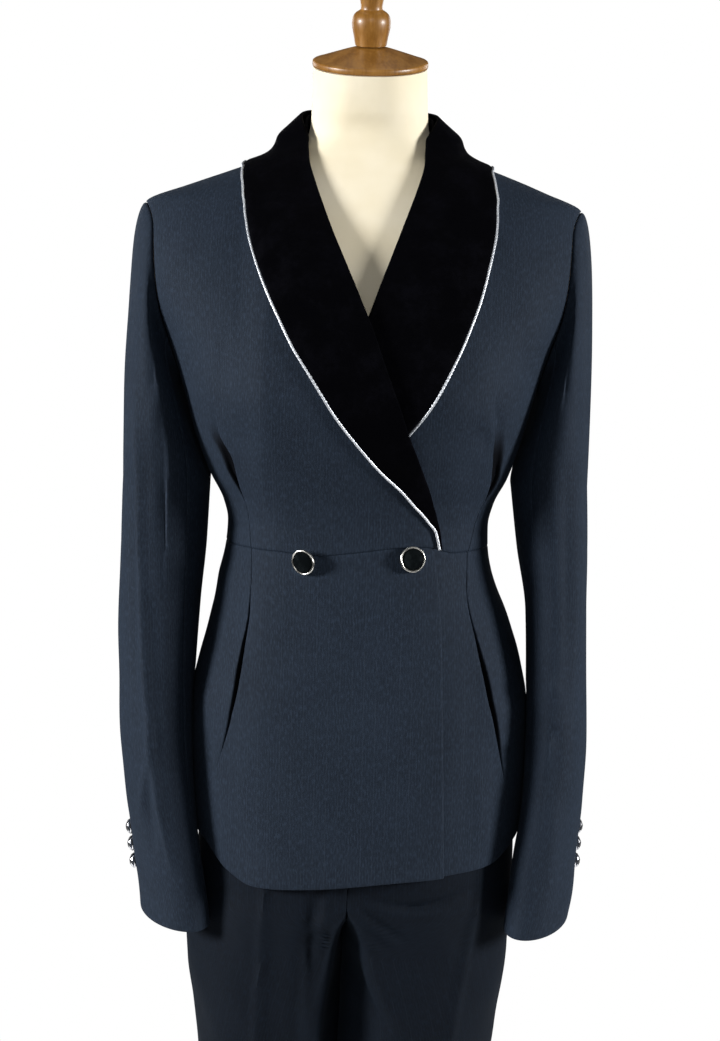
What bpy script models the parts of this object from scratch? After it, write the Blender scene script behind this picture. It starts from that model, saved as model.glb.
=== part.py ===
"""A women's showmanship suit worn by a limbless dress form: a double-breasted jacket with a
velvet shawl collar, its trousers, and the form with its turned neck cap and stand.

Metres, +Z up, the front towards -Y, the origin on the floor under the form's centre.
Heights in the tables are measured from the jacket's waist seam. An angle goes round the
body from 0 at the centre front, and a side is +1 for the wearer's left (+X), -1 for the right.
Every cloth wall is a sheet of points on its outer face, thickened inwards.
"""

import math
from collections import namedtuple

import bpy
import numpy as np
from mathutils import Vector

RIGHT, LEFT = -1, 1

# Driving dimensions
WAIST_HEIGHT = 1.18  # waist seam above the floor
CLOTH = 0.0015  # suiting wall
VELVET = 0.0020  # collar wall, velvet on its undercollar
BAND = 0.0020  # trouser waistband wall
GAP = 0.0003  # between pieces at a seam
LAID = 0.0014  # between the collar and what it lies on
HALF_GAP = GAP / 2

# Body shape of the jacket's outer face
Section = namedtuple("Section", "height half_width front back side power")
JACKET = [
    Section(-0.370, 0.1590, -0.1135, 0.1180, 0.000, 2.30),
    Section(-0.335, 0.1560, -0.1160, 0.1210, 0.000, 2.30),
    Section(-0.305, 0.1555, -0.1220, 0.1275, 0.000, 2.30),
    Section(-0.250, 0.1600, -0.1220, 0.1310, 0.000, 2.30),
    Section(-0.200, 0.1615, -0.1210, 0.1320, 0.000, 2.30),
    Section(-0.150, 0.1610, -0.1180, 0.1290, 0.000, 2.30),
    Section(-0.114, 0.1545, -0.1130, 0.1210, 0.000, 2.25),
    Section(-0.075, 0.1435, -0.1070, 0.1090, 0.000, 2.20),
    Section(-0.037, 0.1320, -0.1010, 0.0960, 0.000, 2.15),
    Section(0.000, 0.1240, -0.0960, 0.0870, 0.000, 2.10),
    Section(0.020, 0.1230, -0.0965, 0.0850, 0.000, 2.10),
    Section(0.040, 0.1275, -0.1000, 0.0860, 0.000, 2.10),
    Section(0.065, 0.1400, -0.1080, 0.0900, 0.000, 2.15),
    Section(0.100, 0.1525, -0.1200, 0.0980, 0.000, 2.25),
    Section(0.142, 0.1630, -0.1280, 0.1070, 0.000, 2.35),
    Section(0.180, 0.1760, -0.1250, 0.1140, 0.002, 2.35),
    Section(0.220, 0.1940, -0.1140, 0.1180, 0.004, 2.30),
    Section(0.250, 0.2025, -0.1020, 0.1170, 0.006, 2.25),
    Section(0.280, 0.2065, -0.0870, 0.1120, 0.008, 2.10),
    Section(0.300, 0.2055, -0.0750, 0.1050, 0.009, 1.95),
    Section(0.313, 0.2022, -0.0670, 0.0990, 0.010, 1.85),
    Section(0.330, 0.1635, -0.0570, 0.0890, 0.012, 1.80),
    Section(0.345, 0.1235, -0.0480, 0.0800, 0.014, 1.85),
    Section(0.360, 0.0830, -0.0400, 0.0710, 0.016, 1.95),
    Section(0.375, 0.0620, -0.0380, 0.0660, 0.015, 2.00),
    Section(0.400, 0.0545, -0.0420, 0.0620, 0.010, 2.00),
    Section(0.441, 0.0520, -0.0490, 0.0550, 0.003, 2.00),
]
Sway = namedtuple("Sway", "height shift")
SWAY = [  # how far the body's two sides stand over to the wearer's left
    Sway(-0.385, 0.0000),
    Sway(-0.290, 0.0066),
    Sway(-0.100, 0.0066),
    Sway(-0.060, 0.0045),
    Sway(-0.025, 0.0008),
    Sway(0.035, 0.0018),
    Sway(0.110, 0.0000),
    Sway(0.313, 0.0000),
    Sway(0.345, 0.0040),
    Sway(0.441, 0.0030),
]
Bust = namedtuple("Bust", "depth angle spread height tall")
BUST = Bust(0.009, math.radians(38), math.radians(20), 0.140, 0.045)

Rise = namedtuple("Rise", "out height")  # out: the world's x, the wearer's left positive

WAIST_SEAM = [
    Rise(-0.130, 0), Rise(-0.0675, 0.0020), Rise(-0.0330, 0.0005), Rise(-0.0135, 0.0026), Rise(0.0086, 0.0055),
    Rise(0.0325, 0.0085), Rise(0.0600, 0.0092), Rise(0.0720, 0.0065), Rise(0.0900, 0.0015), Rise(0.1300, 0.0015), Rise(0.150, 0),
]
SEAM_REACH = 0.055  # the cloth above and below follows the seam over this height
SEAM_EASE = 0.0007  # the skirt's front hangs this much lower still, as its flat faces cut the seam's bends

# Jacket seams
ARMHOLE_LOW, SHOULDER_TIP = 0.150, 0.313
ARMHOLE_FRONT, ARMHOLE_BACK = math.radians(14.5), math.radians(16.5)
SHOULDER_TOP = 0.358  # last row of the bodice, just under the collar stand
UNDERLAP = 0.060  # how far the left front passes the centre below the waist
LAP_START, LAP_FULL = 0.108, 0.078  # where the right front climbs over the left one
LAP_LIFT = 0.0062  # clears the left front and its lapel
LAP_LIFT_HEM = 0.0036

# Front edge of the overlap below the waist: distance past the centre
Edge = namedtuple("Edge", "height past")
OVERLAP = [
    Edge(-0.310, 0.0870),
    Edge(-0.250, 0.0850),
    Edge(-0.144, 0.0810),
    Edge(-0.076, 0.0780),
    Edge(-0.037, 0.0740),
    Edge(0.006, 0.0665),
]

# Lapel ribs, from the tip at the waist up to the shoulder: where each rib starts on the
# roll line and ends on the outer edge. out_... is the distance to the wearer's own side.
Rib = namedtuple("Rib", "step roll_out roll_height edge_out edge_height")
LAPEL_RIGHT = [
    Rib(0, -0.0736, 0.0020, -0.0726, 0.0010),
    Rib(0.5, -0.0708, 0.0225, -0.0690, 0.0165),
    Rib(1, -0.0665, 0.0450, -0.0634, 0.0287),
    Rib(1.5, -0.0625, 0.0620, -0.0525, 0.0422),
    Rib(2, -0.0582, 0.075, -0.0416, 0.060),
    Rib(3, -0.0462, 0.108, -0.0168, 0.087),
    Rib(4, -0.0280, 0.156, 0.0162, 0.126),
    Rib(5, -0.0080, 0.207, 0.0486, 0.173),
    Rib(6, 0.0110, 0.250, 0.0730, 0.218),
    Rib(7, 0.0262, 0.285, 0.0924, 0.262),
    Rib(8, 0.0376, 0.315, 0.1020, 0.296),
    Rib(9, 0.0465, 0.340, 0.1066, 0.324),
]
LAPEL_LEFT = [
    Rib(0, -0.0580, 0.008, -0.0555, 0.007),
    Rib(1, -0.0510, 0.045, -0.0290, 0.038),
    Rib(2, -0.0420, 0.075, -0.0045, 0.062),
    Rib(3, -0.0310, 0.108, 0.0250, 0.092),
    Rib(4, -0.0130, 0.156, 0.0545, 0.128),
    Rib(5, 0.0045, 0.207, 0.0803, 0.174),
    Rib(6, 0.0200, 0.250, 0.0990, 0.219),
    Rib(7, 0.0330, 0.285, 0.1105, 0.260),
    Rib(8, 0.0440, 0.315, 0.1168, 0.293),
    Rib(9, 0.0520, 0.340, 0.1175, 0.323),
]

# Collar ribs, from the lapel round to the centre back, by angle round the neck
NeckRib = namedtuple("NeckRib", "step roll_angle roll_height roll_lift edge_angle edge_height")
COLLAR = [
    NeckRib(10, 60, 0.374, 0.0055, 77, 0.3440),
    NeckRib(11, 88, 0.394, 0.0080, 90, 0.3490),
    NeckRib(12, 118, 0.402, 0.0090, 112, 0.3430),
    NeckRib(13, 148, 0.405, 0.0095, 142, 0.3360),
    NeckRib(14, 180, 0.406, 0.0095, 180, 0.3340),
]
Neck = namedtuple("Neck", "angle height")
NECKLINE = [Neck(42, 0.3480), Neck(50, 0.3530), Neck(65, 0.3586), Neck(90, 0.3606), Neck(180, 0.3606)]

# Open tucks: stitched at the waist, then let go, so that their fold opens into a groove
Tuck = namedtuple("Tuck", "height out")
BODICE_TUCKS = {
    RIGHT: [Tuck(0.000, 0.0930), Tuck(0.035, 0.0977), Tuck(0.057, 0.1048), Tuck(0.085, 0.1108), Tuck(0.108, 0.1230), Tuck(0.150, 0.1290)],
    LEFT: [Tuck(0.000, 0.1035), Tuck(0.036, 0.1126), Tuck(0.050, 0.1175), Tuck(0.070, 0.1206), Tuck(0.111, 0.1203), Tuck(0.150, 0.1195)],
}
SKIRT_TUCKS = {
    RIGHT: [Tuck(-0.310, 0.1450), Tuck(-0.200, 0.1186), Tuck(-0.163, 0.1090), Tuck(-0.094, 0.0968), Tuck(-0.055, 0.0920), Tuck(0.000, 0.0926)],
    LEFT: [Tuck(-0.310, 0.1560), Tuck(-0.230, 0.1438), Tuck(-0.153, 0.1270), Tuck(-0.090, 0.1130), Tuck(-0.034, 0.1027), Tuck(0.000, 0.1025)],
}
BODICE_OPENING = (0.035, 0.125)
SKIRT_OPENING = (-0.225, -0.034)
TUCK_WIDTH, TUCK_DEPTH, TUCK_LIP = 0.0075, 0.0036, 0.0012

# Hem of the jacket by angle to the wearer's own side
Hem = namedtuple("Hem", "angle height")
HEM_RIGHT = [Hem(-46, -0.290), Hem(-20, -0.2925), Hem(15, -0.300), Hem(40, -0.304), Hem(52, -0.295), Hem(66, -0.274), Hem(90, -0.264)]
HEM_LEFT = [Hem(-40, -0.300), Hem(0, -0.296), Hem(40, -0.290), Hem(58, -0.288), Hem(72, -0.275), Hem(90, -0.264)]
HEM_BACK = [Hem(90, -0.264), Hem(130, -0.272), Hem(180, -0.276)]

# Sleeve rings below the cap, by hanging arm: their long way runs front to back, turned by `turn`
Ring = namedtuple("Ring", "height out half_wide middle half_deep turn")
SLEEVE_RIGHT = [
    Ring(-0.362, 0.1620, 0.0285, -0.052, 0.0520, -30),
    Ring(-0.325, 0.1665, 0.0282, -0.049, 0.0525, -28),
    Ring(-0.290, 0.1722, 0.0288, -0.046, 0.0530, -25),
    Ring(-0.240, 0.1790, 0.0312, -0.041, 0.0545, -20),
    Ring(-0.180, 0.1840, 0.0342, -0.032, 0.0560, -15),
    Ring(-0.120, 0.1855, 0.0362, -0.022, 0.0575, -12),
    Ring(-0.060, 0.1845, 0.0385, -0.013, 0.0590, -8),
    Ring(0.000, 0.1813, 0.0402, -0.006, 0.0610, -3),
    Ring(0.060, 0.1788, 0.0401, -0.0015, 0.0630, 0),
]
SLEEVE_LEFT = [
    Ring(-0.362, 0.1778, 0.0268, -0.052, 0.0520, -24),
    Ring(-0.325, 0.1829, 0.0284, -0.049, 0.0525, -22),
    Ring(-0.290, 0.1856, 0.0279, -0.046, 0.0530, -20),
    Ring(-0.240, 0.1914, 0.0276, -0.041, 0.0545, -16),
    Ring(-0.180, 0.1938, 0.0287, -0.032, 0.0560, -12),
    Ring(-0.120, 0.1929, 0.0286, -0.022, 0.0575, -10),
    Ring(-0.060, 0.1912, 0.0289, -0.013, 0.0590, -6),
    Ring(0.000, 0.1856, 0.0331, -0.006, 0.0610, -2),
    Ring(0.060, 0.1800, 0.0352, -0.0015, 0.0630, 0),
]
CAP_FOOT, CUFF = 0.060, -0.353  # heights where the sleeve cap meets the rings, and of its hem
SLEEVE_CLEAR = 0.0012  # between a sleeve and the body of the jacket
BACK_SEAM, FRONT_SEAM = 4, 12  # the columns of the sleeve where its two seams run
SLEEVE_SEAM = 0.0003  # each side of them is cut back by this

# Trousers: the outer face of the seat, then of each leg. inner_centre is where the leg's
# crease runs, and grows from nothing where the legs part.
Leg = namedtuple("Leg", "height outer front back crease power")
LEG = [
    Leg(-1.150, 0.1440, -0.0960, 0.1000, 0.0740, 2.0),
    Leg(-0.950, 0.1390, -0.0900, 0.0940, 0.0715, 2.0),
    Leg(-0.750, 0.1340, -0.0870, 0.0900, 0.0690, 2.0),
    Leg(-0.600, 0.1360, -0.0920, 0.0950, 0.0690, 2.0),
    Leg(-0.500, 0.1448, -0.1000, 0.1020, 0.0680, 2.1),
    Leg(-0.450, 0.1492, -0.1060, 0.1080, 0.0620, 2.2),
    Leg(-0.410, 0.1553, -0.1100, 0.1130, 0.0480, 2.25),
    Leg(-0.370, 0.1565, -0.1125, 0.1170, 0.0300, 2.3),
    Leg(-0.340, 0.1555, -0.1135, 0.1190, 0.0140, 2.3),
    Leg(-0.315, 0.1535, -0.1140, 0.1200, 0.0003, 2.3),
    Leg(-0.280, 0.1525, -0.1140, 0.1215, 0.0003, 2.3),
    Leg(-0.200, 0.1515, -0.1135, 0.1245, 0.0003, 2.3),
    Leg(-0.150, 0.1510, -0.1105, 0.1215, 0.0003, 2.3),
    Leg(-0.100, 0.1455, -0.1050, 0.1115, 0.0003, 2.25),
    Leg(-0.0553, 0.1330, -0.0992, 0.0980, 0.0003, 2.17),
]
INNER_LEG = 0.0015  # half of the space between the two inner legs
Bend = namedtuple("Bend", "height shift")
INNER_BEND = [Bend(-1.150, 0.012), Bend(-0.480, 0.012), Bend(-0.385, 0.006), Bend(-0.320, 0.0)]
BEND_DEEP, BEND_WIDE = 0.090, 0.062  # the space winds to the right in front of this and to the left behind
FORK_LOW, FORK_HIGH = -0.370, -0.315  # the crotch seam, from between the legs to the front
BAND_TOP, BAND_FOOT = -0.015, -0.055
LEG_ROWS = [-1.150, -0.95, -0.75, -0.61, -0.51, -0.43, FORK_LOW]
LEG_ROWS += [-0.352, -0.334, FORK_HIGH, -0.24, -0.16, -0.10, -0.0553]
LEG_ACROSS = np.array([0, 0.13, 0.27, 0.41, 0.55, 0.70, 0.85, 1.0])  # columns between a panel's seams
BAND_IN = 0.0037  # waistband's outer face inside the jacket's outer face

# The dress form lies inside the jacket's outer face by this much
Inset = namedtuple("Inset", "height inset")
FORM_INSET = [
    Inset(-0.305, 0.0160), Inset(-0.200, 0.0150), Inset(-0.100, 0.0125), Inset(-0.055, 0.0078),
    Inset(-0.015, 0.0085), Inset(0.015, 0.0055), Inset(0.100, 0.0052), Inset(0.260, 0.0058),
    Inset(0.300, 0.0052), Inset(0.376, 0.0042), Inset(0.400, 0.0010), Inset(0.441, 0.0000),
]
FORM_FOOT = -0.300
NECK_TOP, NECK_TILT = 0.438, math.radians(17)
NECK_BEND = 0.385  # the neck leans forward above this height
POLE_OUT, POLE_RADIUS = 0.073, 0.0125  # the pole runs down inside the left leg
BASE_RADIUS, BASE_THICK = 0.205, 0.008


# ---------------------------------------------------------------- curves and surfaces


def along(table, name, at):
    """A column of a table between its rows, on a smooth curve that never overshoots them."""
    xs = np.array([row[0] for row in table], float)
    ys = np.array([getattr(row, name) for row in table], float)
    at = np.asarray(at, float)
    step = np.diff(xs)
    rise = np.diff(ys) / step
    slope = np.zeros(len(xs))
    slope[0], slope[-1] = rise[0], rise[-1]
    same_way = rise[:-1] * rise[1:] > 0
    slope[1:-1][same_way] = (2 * rise[:-1] * rise[1:])[same_way] / (rise[:-1] + rise[1:])[same_way]
    k = np.clip(np.searchsorted(xs, at, side="right") - 1, 0, len(step) - 1)
    u = np.clip((at - xs[k]) / step[k], 0, 1)
    from_low = (1 + 2 * u) * (1 - u) ** 2 * ys[k] + u * (1 - u) ** 2 * step[k] * slope[k]
    from_high = u * u * (3 - 2 * u) * ys[k + 1] + u * u * (u - 1) * step[k] * slope[k + 1]
    return from_low + from_high


def smooth(low, high, at):
    """0 at low, 1 at high, with an easy turn at each."""
    u = np.clip((np.asarray(at, float) - low) / (high - low), 0, 1)
    return u * u * (3 - 2 * u)


def ring_radius(angle, half_width, depth, power):
    """Distance from a section's centre to its outline, a superellipse."""
    return ((np.abs(np.sin(angle)) / half_width) ** power + (np.abs(np.cos(angle)) / depth) ** power) ** (-1 / power)


def torso_radius(side, angle, height):
    """Distance from the body's middle line to its outer face. Angles run to the wearer's own side."""
    middle = along(JACKET, "side", height)
    front = middle - along(JACKET, "front", height)
    back = along(JACKET, "back", height) - middle
    depth = np.where(np.cos(angle) > 0, front, back)
    half_width = along(JACKET, "half_width", height) + along(SWAY, "shift", height) * side * np.sign(np.sin(angle))
    radius = ring_radius(angle, half_width, depth, along(JACKET, "power", height))
    across = np.exp(-(((np.abs(angle) - BUST.angle) / BUST.spread) ** 2))
    return radius + BUST.depth * across * np.exp(-(((height - BUST.height) / BUST.tall) ** 2))


def seam_rise(side, points):
    """Points of the body's front with the waist seam drawn up or down where it doesn't run level."""
    ahead = 1 - smooth(-0.030, -0.005, points[..., 1] - along(JACKET, "side", points[..., 2]))
    rise = along(WAIST_SEAM, "height", side * points[..., 0]) * ahead * np.exp(-((points[..., 2] / SEAM_REACH) ** 2))
    return points + np.stack([0 * rise, 0 * rise, rise], -1)


def torso(side, angle, height, lift=0.0):
    """Points on the body's outer face, moved out along its normal by lift."""
    angle, height, lift = (np.asarray(v, float) for v in np.broadcast_arrays(angle, height, lift))

    def face(a, h):
        r = torso_radius(side, a, h)
        return seam_rise(side, np.stack([r * np.sin(a), along(JACKET, "side", h) - r * np.cos(a), h], -1))

    turn, rise = 0.004, 0.0008
    across = face(angle + turn, height) - face(angle - turn, height)
    upwards = face(angle, height + rise) - face(angle, height - rise)
    return face(angle, height) + unit(np.cross(across, upwards)) * lift[..., None]


def unit(vectors):
    return vectors / np.linalg.norm(vectors, axis=-1, keepdims=True)


def angle_at(side, out, height):
    """The angle where the body's outer face is `out` from the centre plane, towards its front."""
    out, height = (np.asarray(v, float) for v in np.broadcast_arrays(out, height))
    low, high = np.full(out.shape, -math.radians(89.9)), np.full(out.shape, math.radians(89.9))
    for _ in range(40):
        middle = (low + high) / 2
        over = torso_radius(side, middle, height) * np.sin(middle) > out
        low, high = np.where(over, low, middle), np.where(over, middle, high)
    return (low + high) / 2


def aside(side, angle, height, distance):
    """An angle moved by a distance along the body's outer face."""
    return angle + distance / torso_radius(side, angle, height)


# ---------------------------------------------------------------- making solids


def material(name, colour, roughness, metallic=0.0):
    made = bpy.data.materials.new(name)
    made.use_nodes = True
    shader = made.node_tree.nodes["Principled BSDF"]
    shader.inputs["Base Color"].default_value = (*colour, 1)
    shader.inputs["Roughness"].default_value = roughness
    shader.inputs["Metallic"].default_value = metallic
    return made


def place(name, mesh, finish):
    mesh.materials.append(finish)
    made = bpy.data.objects.new(name, mesh)
    bpy.context.scene.collection.objects.link(made)
    return made


def wall(name, outer, inner, finish, side=LEFT):
    """A cloth wall between two grids of points, rows going up and each running to the wearer's left.
    For the wearer's right side it is mirrored."""
    rows, columns = outer.shape[:2]
    count = rows * columns
    faces = []
    for i in range(rows - 1):
        for j in range(columns - 1):
            a, b = i * columns + j, (i + 1) * columns + j
            faces.append((a, a + 1, b + 1, b))
            faces.append((count + a, count + b, count + b + 1, count + a + 1))
    rim = [j for j in range(columns)] + [i * columns + columns - 1 for i in range(1, rows)]
    rim += [(rows - 1) * columns + j for j in range(columns - 2, -1, -1)] + [i * columns for i in range(rows - 2, 0, -1)]
    for a, b in zip(rim, rim[1:] + rim[:1]):
        faces.append((b, a, count + a, count + b))
    if side == RIGHT:
        faces = [tuple(reversed(face)) for face in faces]
    points = np.concatenate([outer.reshape(-1, 3), inner.reshape(-1, 3)]) * [side, 1, 1] + [0, 0, WAIST_HEIGHT]
    mesh = bpy.data.meshes.new(name)
    mesh.from_pydata(points.tolist(), [], faces)
    made = place(name, mesh, finish)
    mesh.shade_smooth()
    mesh.set_sharp_from_angle(angle=math.radians(50))
    return made


def panel(name, side, angle, height, lift, thickness, finish, shift=0.0):
    """A wall lying on the body. shift slides its inner face round the body, by distance."""
    outer = torso(side, angle, height, lift)
    inner = torso(side, aside(side, angle, height, shift), height, lift - thickness)
    return wall(name, outer, inner, finish, side)


def grid_normals(grid, closed=False):
    """Outward unit normals of a grid whose rows go up and run to the wearer's left."""
    across = (np.roll(grid, -1, 1) - np.roll(grid, 1, 1)) if closed else np.gradient(grid, axis=1)
    return unit(np.cross(across, np.gradient(grid, axis=0)))


def loft(name, rings, finish):
    """A closed solid through rings of points going up, with flat ends."""
    count, around = rings.shape[:2]
    faces = [tuple(reversed(range(around))), tuple((count - 1) * around + j for j in range(around))]
    for i in range(count - 1):
        for j in range(around):
            k = (j + 1) % around
            faces.append((i * around + j, i * around + k, (i + 1) * around + k, (i + 1) * around + j))
    mesh = bpy.data.meshes.new(name)
    mesh.from_pydata((rings + [0, 0, WAIST_HEIGHT]).reshape(-1, 3).tolist(), [], faces)
    made = place(name, mesh, finish)
    mesh.shade_smooth()
    mesh.set_sharp_from_angle(angle=math.radians(50))
    return made


def turned(name, profile, steps, finish, location=(0, 0, 0), axis=(0, 0, 1)):
    """A turned solid: the profile (radius, height) runs from the top, down the outside, to the foot."""
    mesh = bpy.data.meshes.new(name)
    mesh.from_pydata([(r, 0, z) for r, z in profile], [(i, i + 1) for i in range(len(profile) - 1)], [])
    made = place(name, mesh, finish)
    made.location = location
    made.rotation_mode = "QUATERNION"
    made.rotation_quaternion = Vector(axis).to_track_quat("Z", "Y")
    screw = made.modifiers.new("turn", "SCREW")
    screw.steps = screw.render_steps = steps
    screw.use_merge_vertices = True
    screw.merge_threshold = 0.00001
    screw.use_smooth_shade = True
    return made


# ---------------------------------------------------------------- jacket body


def armhole_angle(height, half_angle):
    """How far the armhole reaches from the side, an oval between the underarm and the shoulder tip."""
    middle, half = (ARMHOLE_LOW + SHOULDER_TIP) / 2, (SHOULDER_TIP - ARMHOLE_LOW) / 2
    u = (np.asarray(height, float) - middle) / half
    return half_angle * np.sqrt(np.clip(1 - u * u, 0, 1))


def armhole_rows(count):
    """Heights round the armhole, closer together at its two ends."""
    middle, half = (ARMHOLE_LOW + SHOULDER_TIP) / 2, (SHOULDER_TIP - ARMHOLE_LOW) / 2
    return middle - half * np.cos(np.linspace(0, math.pi, count))


ARM_ROWS = armhole_rows(10)
BODICE_ROWS = np.concatenate([[HALF_GAP, 0.035, 0.062, 0.090, 0.120], ARM_ROWS, [0.328, 0.343, SHOULDER_TOP]])


BACK_ACROSS = np.array([0, 0.10, 0.22, 0.36, 0.54, 0.76, 1.0])  # a back panel's columns, from side to centre


def lapel(side):
    return LAPEL_RIGHT if side == RIGHT else LAPEL_LEFT


def roll_line(side, height):
    """Distance of the roll line from the centre plane, to the wearer's own side."""
    heights = [rib.roll_height for rib in lapel(side)] + [0.353, SHOULDER_TOP]
    outs = [rib.roll_out for rib in lapel(side)] + [0.062, 0.070]
    return np.interp(height, heights, outs)


def front_lift(side, angle, height):
    """The right front climbs over the left one: how far it stands out there."""
    if side == LEFT:
        return np.zeros(np.broadcast(angle, height).shape)
    out = torso_radius(side, angle, height) * np.sin(angle)
    lift = LAP_LIFT_HEM + (LAP_LIFT - LAP_LIFT_HEM) * smooth(-0.15, -0.02, height)
    return lift * smooth(LAP_START, LAP_FULL, out) * (1 - smooth(0.25, 0.33, height))


def opening(height, span):
    """How far an open tuck gapes, 0 at its two ends."""
    u = np.clip((np.asarray(height, float) - span[0]) / (span[1] - span[0]), 0, 1)
    return np.sin(math.pi * u) ** 0.8


def tucked_columns(side, start, end, height, table, span, before, after):
    """Columns across a front panel: even cells, the tuck's fold, floor and far edge, then even cells.
    Gives their angles, how deep each lies, and how far the wall's inner face slides under the fold."""
    at_tuck = angle_at(side, along(table, "out", height), height)
    free = start + 0.52 * (end - start)
    fades = smooth(0.150, 0.215, height)
    fold = at_tuck * (1 - fades) + free * fades
    gape = opening(height, span)
    wide = TUCK_LIP + (TUCK_WIDTH - TUCK_LIP) * np.maximum(gape, 0.35)
    floor, far = aside(side, fold, height, TUCK_LIP), aside(side, fold, height, wide)
    columns = [start + (fold - start) * j / before for j in range(before + 1)] + [floor]
    columns += [far + (end - far) * j / after for j in range(after + 1)]
    angles = np.stack(columns, -1)
    depth, shift = np.zeros_like(angles), np.zeros_like(angles)
    depth[..., before + 1] = -TUCK_DEPTH * gape
    shift[..., before] = shift[..., before + 1] = -TUCK_LIP * gape
    return angles, depth, shift


def bodice_front(side, finish):
    height = BODICE_ROWS
    start = aside(side, angle_at(side, roll_line(side, height), height), height, 0.0025)
    end = aside(side, math.pi / 2 - armhole_angle(height, ARMHOLE_FRONT), height, -HALF_GAP)
    angles, depth, shift = tucked_columns(side, start, end, height, BODICE_TUCKS[side], BODICE_OPENING, 5, 3)
    rows = height[:, None] + 0 * angles
    panel(f"jacket_front_{NAME[side]}", side, angles, rows, front_lift(side, angles, rows) + depth, CLOTH, finish, shift)


def bodice_back(side, finish):
    height = BODICE_ROWS
    start = aside(side, math.pi / 2 + armhole_angle(height, ARMHOLE_BACK), height, HALF_GAP)
    end = aside(side, math.pi, height, -HALF_GAP)
    angles = start[:, None] + (end - start)[:, None] * BACK_ACROSS
    panel(f"jacket_back_{NAME[side]}", side, angles, height[:, None] + 0 * angles, 0, CLOTH, finish)


def skirt_front(side, finish):
    down = np.linspace(1, 0, 9)
    hem = HEM_RIGHT if side == RIGHT else HEM_LEFT
    level = -HALF_GAP + (-0.29 + HALF_GAP) * down
    past = -along(OVERLAP, "past", level) if side == RIGHT else np.full(len(level), -UNDERLAP)
    start = angle_at(side, past, level)
    end = aside(side, math.pi / 2 + 0 * level, level, -HALF_GAP)
    angles, depth, shift = tucked_columns(side, start, end, level, SKIRT_TUCKS[side], SKIRT_OPENING, 6, 4)
    foot = along(hem, "height", np.degrees(angles[0]))
    height = -HALF_GAP - SEAM_EASE + (foot + HALF_GAP + SEAM_EASE) * down[:, None]
    lift = front_lift(side, angles, height) + depth
    panel(f"jacket_skirt_front_{NAME[side]}", side, angles, height, lift, CLOTH, finish, shift)


def skirt_back(side, finish):
    down = np.linspace(1, 0, 8)
    start = aside(side, math.pi / 2, -0.1, HALF_GAP)
    end = aside(side, math.pi, -0.1, -HALF_GAP)
    angles = start + (end - start) * BACK_ACROSS + 0 * down[:, None]
    foot = along(HEM_BACK, "height", np.degrees(angles[0]))
    height = -HALF_GAP + (foot + HALF_GAP) * down[:, None]
    panel(f"jacket_skirt_back_{NAME[side]}", side, angles, height, 0, CLOTH, finish)


# ---------------------------------------------------------------- sleeves


def sleeve_ring(side, height, turn_angle):
    """A point of a sleeve's ring below the cap: turn_angle runs from the outside over the back."""
    rings = SLEEVE_RIGHT if side == RIGHT else SLEEVE_LEFT
    out, half_wide, middle, half_deep, turn = (along(rings, name, height) for name in Ring._fields[1:])
    lean = np.radians(turn)
    x, y = half_wide * np.cos(turn_angle), half_deep * np.sin(turn_angle)
    ring_x = out + x * np.cos(lean) - y * np.sin(lean)
    ring_y = middle + y * np.cos(lean) + x * np.sin(lean)
    return np.stack([ring_x, ring_y, height + 0 * x], -1)


def clear_of_body(side, points, distance):
    """Points of a sleeve, pushed out sideways to stay clear of the jacket's body."""
    side_y = along(JACKET, "side", points[..., 2])
    angle = np.arctan2(points[..., 0], side_y - points[..., 1])
    radius = np.hypot(points[..., 0], side_y - points[..., 1])
    need = np.maximum(torso_radius(side, angle, points[..., 2]) + distance - radius, 0)
    push = np.stack([need * np.sin(angle), -need * np.cos(angle), 0 * need], -1)
    return points + push * (points[..., 2:3] < ARMHOLE_LOW - 0.004)


def armhole_loop(side):
    """Points round the armhole: from the shoulder tip down the back, up the front, each with its turn."""
    down, up = ARM_ROWS[::-1], ARM_ROWS[1:-1]
    back = torso(side, math.pi / 2 + armhole_angle(down, ARMHOLE_BACK), down)
    front = torso(side, math.pi / 2 - armhole_angle(up, ARMHOLE_FRONT), up)
    points = np.concatenate([back, front])
    around = np.linalg.norm(np.diff(np.vstack([points, points[:1]]), axis=0), axis=1)
    return points, 2 * math.pi * np.concatenate([[0], np.cumsum(around)[:-1]]) / around.sum()


def sleeve_grid(side):
    """A sleeve's outer face: rows from the cuff up to the armhole, columns all round it."""
    edge, turn = armhole_loop(side)
    start = edge + unit(edge.mean(axis=0) - edge) * GAP * 1.6
    foot = sleeve_ring(side, CAP_FOOT, turn)
    high = (np.cos(turn) + 1) / 2  # 1 at the shoulder tip, 0 at the underarm
    leave = np.stack([0.4 + 0.55 * high, 0.35 * np.sin(turn), -0.85 + 0.50 * high], -1)
    leave *= (0.020 - 0.004 * high)[:, None]
    arrive = np.stack([0 * turn, 0 * turn, 0.025 + 0.115 * high], -1)
    cap = []
    for u in (0.0, 0.09, 0.25, 0.47, 0.73):
        cap.append((1 - u) ** 3 * start + 3 * u * (1 - u) ** 2 * (start + leave) + 3 * u * u * (1 - u) * (foot + arrive) + u**3 * foot)
    arm = [sleeve_ring(side, h, turn) for h in np.linspace(CAP_FOOT, CUFF, 8)]
    return clear_of_body(side, np.array(cap + arm)[::-1], SLEEVE_CLEAR + CLOTH)


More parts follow.
